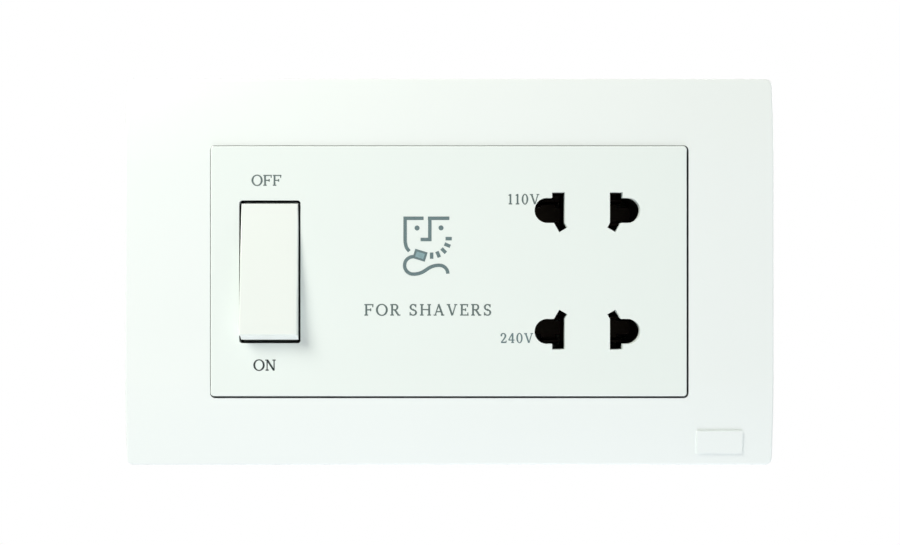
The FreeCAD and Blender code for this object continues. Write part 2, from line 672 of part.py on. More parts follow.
def make_rocker():
    front_y = PIVOT_Y - PIVOT_BEHIND_FACE - ROCKER_RISE
    blank = rocker_blank(0.0, ROCKER_KEEL)
    rim = [edge for edge in blank.Edges if edge.BoundBox.YMax < front_y + IN_PLANE]
    blank = blank.makeFillet(ROCKER_EDGE, rim)
    hollow = rocker_blank(ROCKER_WALL, ROCKER_KEEL + ROCKER_WALL)
    hollow = fuse(hollow, [hollow.translated(Y_AXIS * ROCKER_KEEL)])
    post = rod(vec(0, front_y + ROCKER_WALL / 2, 0), Y_AXIS, POST_RADIUS,
               PIVOT_Y + POST_REACH - front_y - ROCKER_WALL / 2)
    rib = box(-ROCKER_WIDTH / 2 + ROCKER_WALL / 2, ROCKER_WIDTH / 2 - ROCKER_WALL / 2,
              front_y + ROCKER_WALL / 2, PIVOT_Y + ROCKER_SKIRT, -ROCKER_WALL / 2, ROCKER_WALL / 2)
    trunnions = [rod(vec(side * (ROCKER_WIDTH / 2 - ROCKER_WALL), PIVOT_Y, 0), X_AXIS * side, TRUNNION_RADIUS,
                     ROCKER_WALL + TRUNNION_LENGTH) for side in MIRRORED]
    bore = rod(vec(0, PIVOT_Y + BORE_START, 0), Y_AXIS, PLUNGER_RADIUS + PLUNGER_PLAY, POST_REACH)
    rocker = fuse(blank.cut(hollow), [post, rib] + trunnions).cut(bore)
    return at_switch(tilted(rocker, PIVOT_Y, -ROCKER_TILT))


def make_detent_plunger():
    back = PIVOT_Y + PLUNGER_REACH - PLUNGER_LENGTH
    stem = rod(vec(0, back, 0), Y_AXIS, PLUNGER_RADIUS, PLUNGER_LENGTH - PLUNGER_RADIUS)
    nose = Part.makeSphere(PLUNGER_RADIUS, vec(0, PIVOT_Y + PLUNGER_REACH - PLUNGER_RADIUS, 0))
    return at_switch(tilted(fuse(stem, [nose]), PIVOT_Y, -ROCKER_TILT))


def make_detent_spring():
    start = BORE_START + SPRING_WIRE
    height = PLUNGER_REACH - PLUNGER_LENGTH - SPRING_WIRE - start
    path = Part.makeHelix(height / SPRING_TURNS, height, SPRING_RADIUS)
    wire = Part.Wire(Part.makeCircle(SPRING_WIRE, vec(SPRING_RADIUS, 0, 0), Y_AXIS))
    spring = Part.Wire(path.Edges).makePipeShell([wire], True, True)
    spring = spring.rotated(vec(0, 0, 0), X_AXIS, -90).translated(vec(0, PIVOT_Y + start, 0))
    return at_switch(tilted(spring, PIVOT_Y, -ROCKER_TILT))


def make_switch_base():
    collar_height = WINDOW_HEIGHT + 2 * COLLAR_END_PLAY
    collar = rounded_block(WINDOW_WIDTH + 2 * COLLAR_WALL, collar_height + 2 * COLLAR_WALL, COLLAR_WALL,
                           PANEL_BACK_Y, COLLAR_BACK_Y)
    floor_y = COLLAR_BACK_Y - COLLAR_FLOOR
    tub = rounded_block(2 * TUB_HALF_WIDTH, 2 * TUB_HALF_HEIGHT, TUB_WALL, floor_y, TUB_BACK_Y)
    well = rounded_block(WINDOW_WIDTH, collar_height, WINDOW_CORNER, PANEL_BACK_Y, floor_y)
    chamber = box(-TUB_HALF_WIDTH + TUB_WALL, TUB_HALF_WIDTH - TUB_WALL, COLLAR_BACK_Y, TUB_BACK_Y - TUB_WALL,
                  -TUB_HALF_HEIGHT + TUB_WALL, TUB_HALF_HEIGHT - TUB_WALL)
    slot_x = POST_RADIUS + FLOOR_SLOT_PLAY / 2
    slot_z = POST_RADIUS + FLOOR_SLOT_PLAY
    slot = box(-slot_x, slot_x, floor_y, COLLAR_BACK_Y, -slot_z, slot_z)
    bearing = rod(vec(-WINDOW_WIDTH / 2 - COLLAR_WALL, PIVOT_Y, 0), X_AXIS, TRUNNION_RADIUS + BEARING_PLAY,
                  WINDOW_WIDTH + 2 * COLLAR_WALL)
    tails = [tail_slot(0.0), tail_slot(FIXED_TAIL_Z)]
    base = fuse(collar, [tub]).cut(Part.makeCompound([well, chamber, slot] + tails))
    return at_switch(base.cut(bearing))


def tail_slot(z):
    # Opening in the switch floor for a contact's soldering tail
    half_x = TAIL_WIDTH / 2 + CONTACT_AIR
    half_z = BLADE_THICK / 2 + CONTACT_AIR
    return box(-half_x, half_x, TUB_BACK_Y - TUB_WALL, TUB_BACK_Y, z - half_z, z + half_z)


def solder_tail(y0, z):
    return box(-TAIL_WIDTH / 2, TAIL_WIDTH / 2, y0, TUB_BACK_Y + TAIL_REACH,
               z - BLADE_THICK / 2, z + BLADE_THICK / 2)


def make_moving_contact():
    # See-saw strip with a rolled bead to rock on, a turned-up lower end and a contact button
    middle = SEESAW_Y - SEESAW_THICK / 2
    path = [vec(0, middle - SEESAW_THICK, -SEESAW_LOWER), vec(0, middle, -SEESAW_LOWER + 2 * SEESAW_THICK),
            vec(0, middle, SEESAW_UPPER)]
    strip = bent_strip(path, X_AXIS, SEESAW_THICK, SEESAW_THICK, SEESAW_WIDTH)
    bead = rod(vec(-SEESAW_WIDTH / 2, SEESAW_Y, 0), X_AXIS, BEAD_RADIUS, SEESAW_WIDTH)
    button = rod(vec(0, middle, BUTTON_ARM), Y_AXIS, BUTTON_RADIUS, BUTTON_HEIGHT + SEESAW_THICK / 2)
    return at_switch(tilted(fuse(strip, [bead, button]), SEESAW_Y, SEESAW_TILT))


def make_common_terminal():
    # Saddle under the see-saw's bead, with its soldering tail
    saddle = box(-SEESAW_WIDTH / 2, SEESAW_WIDTH / 2, SEESAW_Y + SADDLE_RIM, TUB_BACK_Y - TUB_WALL,
                 -SADDLE_HALF_HEIGHT, SADDLE_HALF_HEIGHT)
    groove = rod(vec(-SEESAW_WIDTH, SEESAW_Y, 0), X_AXIS, BEAD_RADIUS + BEARING_PLAY, 2 * SEESAW_WIDTH)
    return at_switch(fuse(saddle.cut(groove), [solder_tail(SEESAW_Y + 2 * BEAD_RADIUS, 0.0)]))


def make_fixed_contact():
    # Button and blade that lie flat against the see-saw when the switch is on
    face = SEESAW_Y + BUTTON_HEIGHT + CONTACT_AIR
    button = rod(vec(0, face, BUTTON_ARM), Y_AXIS, BUTTON_RADIUS, BUTTON_HEIGHT + BLADE_THICK / 2)
    blade = box(-TAIL_WIDTH / 2, TAIL_WIDTH / 2, face + BUTTON_HEIGHT, face + BUTTON_HEIGHT + BLADE_THICK,
                BUTTON_ARM - BUTTON_RADIUS, FIXED_TAIL_Z + BLADE_THICK)
    leaning = tilted(fuse(button, [blade]), SEESAW_Y, -SEESAW_TILT)
    lean_y = math.sin(math.radians(SEESAW_TILT)) * FIXED_TAIL_Z
    return at_switch(fuse(leaning, [solder_tail(face + BUTTON_HEIGHT + lean_y, FIXED_TAIL_Z)]))


def cell(side, up):
    # Space in the carrier behind one pin hole
    square = box(CELL_INNER, PIN_CENTRE, PANEL_BACK_Y, CARRIER_BACK_Y,
                 -CELL_REACH, CELL_REACH - CARRIER_CLEAR)
    end = rod(vec(PIN_CENTRE, PANEL_BACK_Y, 0), Y_AXIS, CELL_RADIUS, CARRIER_DEPTH)
    return place_at_socket(fuse(square, [end]), side, up)


def make_contact_carrier():
    block = rounded_block(2 * CARRIER_HALF_WIDTH, 2 * CARRIER_HALF_HEIGHT, CARRIER_CORNER,
                          PANEL_BACK_Y, CARRIER_BACK_Y, SOCKET_X, SOCKET_RISE)
    cuts = [cell(side, up) for side in MIRRORED for up in MIRRORED]
    for place in pillar_places(PANEL_BACK_Y):
        cuts.append(rod(place, Y_AXIS, PILLAR_RADIUS + PILLAR_PLAY, PILLAR_LENGTH))
        cuts.append(rod(place, Y_AXIS, SCREW_HOLE_RADIUS, CARRIER_DEPTH))
    # The outer corners clear the housing's screw notches
    notch_x = HOUSING_WIDTH / 2 - HOUSING_WALL - NOTCH - CARRIER_CLEAR
    notch_z = HOUSING_HEIGHT / 2 - HOUSING_WALL - NOTCH - CARRIER_CLEAR
    for side in MIRRORED:
        across = sorted((side * notch_z, side * HOUSING_HEIGHT))
        cuts.append(box(notch_x, HOUSING_WIDTH, -HOUSING_FRONT - CARRIER_CLEAR, CARRIER_BACK_Y, *across))
    return block.cut(Part.makeCompound(cuts))


def make_pin_contact(side, up):
    # Folded clip: two leaves nip the pin, a strap seats on the carrier, a tag takes the lead
    middle = LEAF_START + LEAF_WIDTH / 2
    root = CARRIER_BACK_Y + LEAF_THICK / 2
    leaf = [(root - LEAF_LENGTH, LEAF_MOUTH), (root - LEAF_NIP_DEPTH, LEAF_NIP), (root, LEAF_ROOT)]
    points = [vec(middle, y, z) for y, z in leaf] + [vec(middle, y, -z) for y, z in reversed(leaf)]
    clip = bent_strip(points, X_AXIS, LEAF_THICK, LEAF_BEND, LEAF_WIDTH)
    strap = box(STRAP_INNER, STRAP_OUTER, CARRIER_BACK_Y, CARRIER_BACK_Y + LEAF_THICK,
                -STRAP_HALF_HEIGHT, STRAP_HALF_HEIGHT)
    tag = box(STRAP_INNER, STRAP_INNER + LEAF_THICK, CARRIER_BACK_Y, CARRIER_BACK_Y + TAG_LENGTH,
              -STRAP_HALF_HEIGHT, STRAP_HALF_HEIGHT)
    return place_at_socket(fuse(clip, [strap, tag]), side, up)


def tag_place(side, up):
    return vec(SOCKET_X + side * (STRAP_INNER + LEAF_THICK / 2), CARRIER_BACK_Y + TAG_LENGTH,
               SOCKET_RISE + up * SOCKET_PITCH / 2)


def make_common_link():
    # Bar that joins the tags of the two left-hand contacts
    top = tag_place(-1, 1)
    bottom = tag_place(-1, -1)
    return box(top.x - LINK_WIDTH / 2, top.x + LINK_WIDTH / 2, top.y, top.y + LINK_THICK,
               bottom.z - LINK_OVERHANG, top.z + LINK_OVERHANG)


def notched_block(inset, y0, y1):
    # Rectangle with a square notch at each corner for the screws
    half_w = HOUSING_WIDTH / 2 - inset
    half_h = HOUSING_HEIGHT / 2 - inset
    quarter = [(half_w, half_h - NOTCH), (half_w - NOTCH, half_h - NOTCH), (half_w - NOTCH, half_h)]
    outline = quarter + [(-x, z) for x, z in reversed(quarter)]
    outline += [(-x, -z) for x, z in quarter] + [(x, -z) for x, z in reversed(quarter)]
    return prism([vec(x, y0, z) for x, z in outline], Y_AXIS * (y1 - y0))


def clamp_places():
    reach = CORE_WIDTH / 2 + CLAMP_PLAY + CLAMP_THICK + CLAMP_FOOT / 2
    yoke = (WINDOW_LENGTH + LIMB / 2) / 2
    return [(CORE_X + x * reach, z * yoke) for x in MIRRORED for z in MIRRORED]


def make_rear_housing():
    far = HOUSING_WIDTH
    half_h = HOUSING_HEIGHT / 2
    half_w = HOUSING_WIDTH / 2
    shell = notched_block(0.0, -HOUSING_FRONT, HOUSING_DEPTH)
    shell = shell.cut(box(-far, STEP_X, STEP_DEPTH, HOUSING_DEPTH, -far, far))
    shell = shell.makeFillet(HOUSING_EDGE, edges_at_depth(shell, HOUSING_DEPTH))
    hollow = notched_block(HOUSING_WALL, -HOUSING_FRONT, HOUSING_FLOOR_Y)
    hollow = hollow.cut(box(-far, STEP_X + HOUSING_WALL, STEP_DEPTH - HOUSING_WALL, HOUSING_DEPTH, -far, far))
    flange = rounded_block(HOUSING_WIDTH + 2 * FLANGE_REACH, HOUSING_HEIGHT + 2 * FLANGE_REACH, FLANGE_REACH,
                           0, FLANGE_THICK)
    flange = flange.cut(box(-half_w, half_w, 0, FLANGE_THICK, -half_h, half_h))
    added = [flange]
    cuts = []
    for x in MIRRORED:
        for z in MIRRORED:
            across = sorted((x * half_w, x * (half_w - NOTCH)))
            upright = sorted((z * half_h, z * (half_h - NOTCH)))
            added.append(box(*across, -HOUSING_FRONT, LUG_BACK_Y, *upright))
            hole_start = vec(x * BOSS_X, -HOUSING_FRONT, z * BOSS_Z)
            cuts.append(rod(hole_start, Y_AXIS, SCREW_HOLE_RADIUS, LUG_THICK))
        rib_x = CORE_X + x * (CORE_WIDTH - LIMB / 2) / 2
        added.append(box(rib_x - HOUSING_WALL / 2, rib_x + HOUSING_WALL / 2, CORE_BACK, HOUSING_FLOOR_Y,
                         -WINDOW_LENGTH / 2, WINDOW_LENGTH / 2))
        for index in range(VENT_COUNT):
            vent_x = CORE_X + (index - (VENT_COUNT - 1) / 2) * VENT_PITCH
            upright = sorted((x * half_h, x * (half_h - HOUSING_WALL)))
            cuts.append(box(vent_x - VENT_WIDTH / 2, vent_x + VENT_WIDTH / 2, CORE_MIDDLE - VENT_LENGTH / 2,
                            CORE_MIDDLE + VENT_LENGTH / 2, *upright))
    for x, z in clamp_places():
        added.append(rod(vec(x, CLAMP_SEAT_Y, z), Y_AXIS, BOSS_RADIUS, HOUSING_FLOOR_Y - CLAMP_SEAT_Y))
        cuts.append(rod(vec(x, CLAMP_SEAT_Y, z), Y_AXIS, PILOT_RADIUS, HOUSING_FLOOR_Y - CLAMP_SEAT_Y))
    for z in terminal_places():
        cuts.append(terminal_tail(z, TERMINAL_PLAY))
    return fuse(shell.cut(hollow), added).cut(Part.makeCompound(cuts))


def make_housing_screws():
    length = LUG_THICK - HOUSING_FRONT - PANEL_BACK_Y - 2 * BOSS_BOTTOM
    return Part.makeCompound([screw(x * BOSS_X, LUG_BACK_Y, z * BOSS_Z, length, -1)
                              for x in MIRRORED for z in MIRRORED])


def make_carrier_screws():
    return Part.makeCompound([screw(place.x, place.y, place.z, CARRIER_DEPTH - BOSS_BOTTOM, -1)
                              for place in pillar_places(CARRIER_BACK_Y)])


def core_block(z0, z1):
    return box(CORE_X - CORE_WIDTH / 2, CORE_X + CORE_WIDTH / 2, CORE_FRONT, CORE_BACK, z0, z1)


def make_core_e_stack():
    # E laminations: a lower yoke and three limbs
    block = core_block(-(WINDOW_LENGTH + LIMB) / 2, WINDOW_LENGTH / 2)
    for side in MIRRORED:
        across = sorted((CORE_X + side * LIMB / 2, CORE_X + side * (LIMB / 2 + CORE_WINDOW)))
        block = block.cut(box(*across, CORE_FRONT, CORE_BACK, -WINDOW_LENGTH / 2, WINDOW_LENGTH / 2))
    return block


def make_core_i_stack():
    return core_block(WINDOW_LENGTH / 2, (WINDOW_LENGTH + LIMB) / 2)


def limb_block(reach, corner, z0, z1):
    # Upright block round the centre limb, standing out from it by the given reach
    half_x = LIMB / 2 + reach
    half_y = CORE_STACK / 2 + reach
    block = box(CORE_X - half_x, CORE_X + half_x, CORE_MIDDLE - half_y, CORE_MIDDLE + half_y, z0, z1)
    return block.makeFillet(corner, edges_along(block, Z_AXIS)) if corner else block


def coil_tags():
    # Places of the five soldering pins: two for the mains winding above, three below
    z = BOBBIN_HALF - FLANGE_WALL / 2
    return [(CORE_X - TAG_PITCH, z), (CORE_X + TAG_PITCH, z),
            (CORE_X - TAG_PITCH, -z), (CORE_X, -z), (CORE_X + TAG_PITCH, -z)]


def coil_tag_rods(play):
    return [rod(vec(x, COIL_TAG_Y, z), Y_AXIS, PIN_TAG_RADIUS + play, PIN_TAG_LENGTH) for x, z in coil_tags()]


def make_coil_bobbin():
    # Square tube on the limb with three flanges: two chambers for the two windings
    tube = limb_block(BOBBIN_PLAY + BOBBIN_WALL, 0, -BOBBIN_HALF, BOBBIN_HALF)
    flanges = [limb_block(FLANGE_OUT, COIL_ROUND, z, z + FLANGE_WALL)
               for z in (-BOBBIN_HALF, -FLANGE_WALL / 2, BOBBIN_HALF - FLANGE_WALL)]
    bore = limb_block(BOBBIN_PLAY, 0, -BOBBIN_HALF, BOBBIN_HALF)
    return fuse(tube, flanges).cut(Part.makeCompound([bore] + coil_tag_rods(PIN_TAG_PLAY)))


def make_winding(up):
    z0, z1 = sorted((up * FLANGE_WALL / 2, up * (BOBBIN_HALF - FLANGE_WALL)))
    outside = limb_block(BOBBIN_PLAY + BOBBIN_WALL + COIL_BUILD, COIL_ROUND, z0, z1)
    return outside.cut(limb_block(BOBBIN_PLAY + BOBBIN_WALL, 0, z0, z1))


def make_core_clamp(up):
    # Strap across the front of one yoke, down both sides, with two screwed feet
    side_x = CORE_WIDTH / 2 + CLAMP_PLAY + CLAMP_THICK / 2
    front_y = CORE_FRONT - CLAMP_PLAY - CLAMP_THICK / 2
    foot_y = CLAMP_SEAT_Y - CLAMP_THICK / 2
    half = [(side_x + CLAMP_FOOT, foot_y), (side_x, foot_y), (side_x, front_y)]
    z = clamp_places()[0][1] * -up
    points = [vec(CORE_X - x, y, z) for x, y in half] + [vec(CORE_X + x, y, z) for x, y in reversed(half)]
    strap = bent_strip(points, Z_AXIS, CLAMP_THICK, CLAMP_BEND, CLAMP_WIDTH)
    holes = [rod(vec(x, 0, hole_z), Y_AXIS, SCREW_HOLE_RADIUS, HOUSING_DEPTH)
             for x, hole_z in clamp_places()]
    return strap.cut(Part.makeCompound(holes))


def make_clamp_screws():
    length = HOUSING_FLOOR_Y - CLAMP_SEAT_Y - BOSS_BOTTOM + CLAMP_THICK
    return Part.makeCompound([screw(x, CLAMP_SEAT_Y - CLAMP_THICK, z, length, 1) for x, z in clamp_places()])


def make_thermal_cutout():
    # Small fuse body lying on the mains winding
    block = box(CORE_X - CUTOUT_LENGTH / 2, CORE_X + CUTOUT_LENGTH / 2, COIL_FRONT - CUTOUT_THICK, COIL_FRONT,
                CUTOUT_Z - CUTOUT_WIDTH / 2, CUTOUT_Z + CUTOUT_WIDTH / 2)
    return block.makeFillet(CUTOUT_THICK / 4, edges_along(block, X_AXIS))


def terminal_places():
    return [TERMINAL_PITCH * step for step in (1, 0, -1)]


def terminal_tail(z, play):
    # Tail from a terminal pillar through the block and the housing to its lead
    x0 = TERMINAL_X + TERMINAL_SIZE / 2 - TAIL_WIDTH / 2
    return box(x0 - play, x0 + TAIL_WIDTH + play, TERMINAL_TAIL_Y, TERMINAL_FRONT_Y,
               z - BLADE_THICK / 2 - play, z + BLADE_THICK / 2 + play)


def make_terminal_block():
    # Moulded strip with fences between the pillars, open to the side for the supply cores
    x0 = -HOUSING_WIDTH / 2 + TERMINAL_INSET
    x1 = STEP_X - TERMINAL_INSET
    reach = TERMINAL_PITCH * 1.5 + TERMINAL_FENCE / 2
    top = TERMINAL_FRONT_Y + TERMINAL_DEPTH
    pieces = [box(x1 - TERMINAL_FENCE, x1, STEP_DEPTH, top, -reach, reach)]
    for step in (-1.5, -0.5, 0.5, 1.5):
        z = step * TERMINAL_PITCH
        pieces.append(box(x0, x1, STEP_DEPTH, top, z - TERMINAL_FENCE / 2, z + TERMINAL_FENCE / 2))
    block = fuse(box(x0, x1, STEP_DEPTH, TERMINAL_FRONT_Y, -reach, reach), pieces)
    return block.cut(Part.makeCompound([terminal_tail(z, TERMINAL_PLAY) for z in terminal_places()]))


def make_terminal(z):
    # Brass pillar: cross bore for the supply core, clamping screw from behind
    half = TERMINAL_SIZE / 2
    pillar = box(TERMINAL_X, TERMINAL_X + TERMINAL_SIZE, TERMINAL_FRONT_Y, TERMINAL_FRONT_Y + TERMINAL_DEPTH,
                 z - half, z + half)
    bore = rod(vec(TERMINAL_X, TERMINAL_BORE_Y, z), X_AXIS, TERMINAL_BORE, TERMINAL_SIZE)
    tapped = rod(vec(TERMINAL_SCREW_X, TERMINAL_BORE_Y, z), Y_AXIS, PILOT_RADIUS, TERMINAL_DEPTH)
    return fuse(pillar, [terminal_tail(z, 0.0)]).cut(Part.makeCompound([bore, tapped]))


def make_terminal_screws():
    top = TERMINAL_FRONT_Y + TERMINAL_DEPTH
    length = top - TERMINAL_BORE_Y - TERMINAL_BORE
    return Part.makeCompound([screw(TERMINAL_SCREW_X, top, z, length, -1) for z in terminal_places()])


def lead(points):
    # Insulated wire along straight runs joined by tangent arcs
    path = Part.Wire(rounded_edges(points, [LEAD_BEND] * (len(points) - 2)))
    ring = Part.Wire(Part.makeCircle(LEAD_RADIUS, points[0], points[1] - points[0]))
    return path.makePipeShell([ring], True, False)


def from_terminal(z):
    # Start of a lead on the side of a terminal's tail, behind the switch
    return vec(TERMINAL_X + (TERMINAL_SIZE + TAIL_WIDTH) / 2, TERMINAL_TAIL_Y + LEAD_RADIUS + LEAD_GAP, z)


def from_switch(z):
    return vec(ROCKER_X + TAIL_WIDTH / 2, TUB_BACK_Y + LEAD_RADIUS + LEAD_GAP, z)


def beside_core(side):
    # Middle of the free channel left or right of the core
    inner = CORE_X + side * (CORE_WIDTH / 2 + CLAMP_PLAY + CLAMP_THICK)
    outer = SOCKET_X - CARRIER_HALF_WIDTH if side > 0 else ROCKER_X + WINDOW_WIDTH / 2 + COLLAR_WALL
    return (inner + outer) / 2


def make_lead_live():
    start = from_terminal(TERMINAL_PITCH)
    end = from_switch(0.0)
    turn_x = end.x + 2 * LEAD_BEND
    return lead([start, vec(turn_x, start.y, start.z), vec(turn_x, end.y, end.z), end])


def make_lead_switched():
    start = from_switch(FIXED_TAIL_Z)
    end = vec(CORE_X - CUTOUT_LENGTH / 2, COIL_FRONT - CUTOUT_THICK / 2, CUTOUT_Z)
    turn_x = beside_core(-1)
    return lead([start, vec(turn_x, start.y, start.z), vec(turn_x, end.y, end.z), end])


def make_lead_cutout():
    start = vec(CORE_X + CUTOUT_LENGTH / 2, COIL_FRONT - CUTOUT_THICK / 2, CUTOUT_Z)
    tag_x, tag_z = coil_tags()[1]
    layer = COIL_TAG_Y - LEAD_LAYER
    return lead([start, vec(tag_x, start.y, start.z), vec(tag_x, layer, start.z + LEAD_RADIUS),
                 vec(tag_x, layer, tag_z), vec(tag_x, COIL_TAG_Y, tag_z)])


def make_lead_neutral():
    start = from_terminal(0.0)
    tag_x, tag_z = coil_tags()[0]
    turn_x = beside_core(-1)
    layer = COIL_TAG_Y - LEAD_LAYER
    return lead([start, vec(turn_x, start.y, start.z), vec(turn_x, layer, start.z),
                 vec(tag_x, layer, tag_z), vec(tag_x, COIL_TAG_Y, tag_z)])


def make_lead_earth():
    start = from_terminal(-TERMINAL_PITCH)
    end = vec(CORE_X - CORE_WIDTH / 2 - CLAMP_PLAY - CLAMP_THICK, start.y, -(WINDOW_LENGTH + LIMB / 2) / 2)
    half_x = (start.x + end.x) / 2
    return lead([start, vec(half_x, start.y, start.z), vec(half_x + LEAD_LAYER, end.y, end.z), end])


def make_secondary_lead(index, channel_z, end):
    # From a lower soldering pin, in its own layer, round the core and back to a contact
    tag_x, tag_z = coil_tags()[index]
    layer = COIL_TAG_Y - LEAD_LAYER - (len(coil_tags()) - 1 - index) * LEAD_PITCH
    turn_x = beside_core(1)
    behind = end.y + LEAD_LAYER
    return lead([vec(tag_x, COIL_TAG_Y, tag_z), vec(tag_x, layer, tag_z), vec(turn_x, layer, channel_z),
                 vec(turn_x, behind, channel_z), vec(end.x, behind, end.z), end])


def make_lead_common():
    link = tag_place(-1, -1)
    return make_secondary_lead(3, CHANNEL_Z[1], vec(link.x, link.y + LINK_THICK, CHANNEL_Z[0]))


NODES = {
    "front_frame": make_front_frame(),
    "mounting_plate": make_mounting_plate(),
    "socket_panel": make_socket_panel(),
    "rocker": make_rocker(),
    "detent_plunger": make_detent_plunger(),
    "detent_spring": make_detent_spring(),
    "switch_base": make_switch_base(),
    "moving_contact": make_moving_contact(),
    "common_terminal": make_common_terminal(),
    "fixed_contact": make_fixed_contact(),
    "contact_carrier": make_contact_carrier(),
    "carrier_screws": make_carrier_screws(),
    "contact_110_left": make_pin_contact(-1, 1),
    "contact_110_right": make_pin_contact(1, 1),
    "contact_240_left": make_pin_contact(-1, -1),
    "contact_240_right": make_pin_contact(1, -1),
    "common_link": make_common_link(),
    "rear_housing": make_rear_housing(),
    "housing_screws": make_housing_screws(),
    "core_e_stack": make_core_e_stack(),
    "core_i_stack": make_core_i_stack(),
    "coil_bobbin": make_coil_bobbin(),
    "coil_pins": Part.makeCompound(coil_tag_rods(0.0)),
    "primary_winding": make_winding(1),
    "secondary_winding": make_winding(-1),
    "upper_core_clamp": make_core_clamp(1),
    "lower_core_clamp": make_core_clamp(-1),
    "clamp_screws": make_clamp_screws(),
    "thermal_cutout": make_thermal_cutout(),
    "terminal_block": make_terminal_block(),
    "terminal_live": make_terminal(terminal_places()[0]),
    "terminal_neutral": make_terminal(terminal_places()[1]),
    "terminal_earth": make_terminal(terminal_places()[2]),
    "terminal_screws": make_terminal_screws(),
    "lead_live": make_lead_live(),
    "lead_switched": make_lead_switched(),
    "lead_cutout": make_lead_cutout(),
    "lead_neutral": make_lead_neutral(),
    "lead_earth": make_lead_earth(),
    "lead_110": make_secondary_lead(2, CHANNEL_Z[0], tag_place(1, 1)),
    "lead_common": make_lead_common(),
    "lead_240": make_secondary_lead(4, CHANNEL_Z[2], tag_place(1, -1)),
}

os.makedirs("parts", exist_ok=True)
for node, shape in NODES.items():
    save(shape, node)
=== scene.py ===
import json
import math
from typing import NamedTuple

import bmesh
import bpy
from mathutils import Matrix, Vector
from mathutils.geometry import delaunay_2d_cdt, interpolate_bezier


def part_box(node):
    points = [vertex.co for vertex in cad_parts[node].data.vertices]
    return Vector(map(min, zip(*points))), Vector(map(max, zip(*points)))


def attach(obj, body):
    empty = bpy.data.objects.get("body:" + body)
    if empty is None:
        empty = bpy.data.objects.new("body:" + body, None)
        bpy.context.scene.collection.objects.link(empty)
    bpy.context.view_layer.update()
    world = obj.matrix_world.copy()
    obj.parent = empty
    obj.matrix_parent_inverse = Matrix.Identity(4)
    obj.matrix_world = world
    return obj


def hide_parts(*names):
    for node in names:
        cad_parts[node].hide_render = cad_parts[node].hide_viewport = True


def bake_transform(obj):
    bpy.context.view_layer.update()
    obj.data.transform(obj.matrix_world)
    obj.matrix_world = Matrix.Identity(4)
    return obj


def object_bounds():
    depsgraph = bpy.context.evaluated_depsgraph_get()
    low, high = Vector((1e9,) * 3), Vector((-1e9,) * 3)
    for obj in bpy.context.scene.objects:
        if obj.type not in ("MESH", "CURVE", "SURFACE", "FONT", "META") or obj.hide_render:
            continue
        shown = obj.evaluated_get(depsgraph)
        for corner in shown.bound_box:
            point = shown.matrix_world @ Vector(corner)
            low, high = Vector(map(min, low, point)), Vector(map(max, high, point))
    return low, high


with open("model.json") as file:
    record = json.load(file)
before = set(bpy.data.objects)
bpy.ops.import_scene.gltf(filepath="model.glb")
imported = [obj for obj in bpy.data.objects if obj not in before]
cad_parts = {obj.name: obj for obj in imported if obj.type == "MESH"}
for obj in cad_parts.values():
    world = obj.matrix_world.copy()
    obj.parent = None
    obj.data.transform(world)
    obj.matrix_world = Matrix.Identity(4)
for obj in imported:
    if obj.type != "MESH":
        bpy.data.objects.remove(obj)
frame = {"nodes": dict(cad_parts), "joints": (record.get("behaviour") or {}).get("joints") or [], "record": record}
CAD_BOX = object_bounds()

# Lengths are in metres, written as millimetres times MM; what is drawn on a face is in plain millimetres
MM = 0.001


class Finish(NamedTuple):
    """A surface's linear colour and its roughness."""
    colour: tuple
    roughness: float


class Grain(NamedTuple):
    """The size and depth of a fine relief, in metres."""
    size: float
    depth: float


class Word(NamedTuple):
    """A printed word, in millimetres from the plate's centre: two ends, baseline and cap height."""
    text: str
    left: float
    right: float
    baseline: float
    cap: float
    ink: str


class Lamp(NamedTuple):
    """A round lamp that shines at the origin, in metres and watts."""
    place: tuple
    size: float
    power: float
    colour: tuple


def srgb(red, green, blue):
    # Linear colour from the usual 0 to 255 values
    def linear(value):
        value /= 255
        return value / 12.92 if value <= 0.04045 else ((value + 0.055) / 1.055) ** 2.4
    return (linear(red), linear(green), linear(blue), 1.0)


# Picture and camera; the scale is that at the panel's face
PICTURE_WIDTH = 900
PICTURE_HEIGHT = 545
PIXELS_PER_MM = 4.424
PLATE_CENTRE_PX = (449.35, 271.8)
CAMERA_DISTANCE = 260 * MM
SENSOR_WIDTH = 36.0

# Finishes: those of the record's material slots, two more for the nodes below, the inks and the floor
FINISHES = {
    "white_moulding": Finish(srgb(241, 248, 246), 0.34),
    "rocker_white": Finish(srgb(238, 245, 240), 0.3),
    "housing_white": Finish(srgb(226, 226, 218), 0.5),
    "black_moulding": Finish(srgb(18, 18, 18), 0.5),
    "natural_nylon": Finish(srgb(226, 218, 196), 0.45),
    "contact_brass": Finish(srgb(214, 178, 104), 0.3),
    "zinc_steel": Finish(srgb(196, 196, 190), 0.34),
    "core_steel": Finish(srgb(96, 98, 104), 0.42),
    "enamelled_copper": Finish(srgb(190, 104, 58), 0.28),
    "lead_brown": Finish(srgb(104, 62, 38), 0.38),
    "lead_blue": Finish(srgb(46, 96, 178), 0.38),
    "lead_green": Finish(srgb(88, 158, 60), 0.38),
    "lead_white": Finish(srgb(232, 232, 226), 0.38),
    "panel_white": Finish(srgb(237, 246, 242), 0.34),
    # Brass darkened as painted shade, for the strips behind the pin holes
    "shade_painted_bronze": Finish(srgb(46, 41, 36), 0.5),
    "print_ink": Finish(srgb(92, 108, 106), 0.55),
    "fresh_ink": Finish(srgb(30, 42, 42), 0.55),
    "faded_ink": Finish(srgb(100, 122, 124), 0.55),
    "pale_ink": Finish(srgb(134, 164, 168), 0.55),
    "pale_floor": Finish(srgb(244, 245, 245), 0.9),
}
INKS = ("print_ink", "fresh_ink", "faded_ink", "pale_ink")
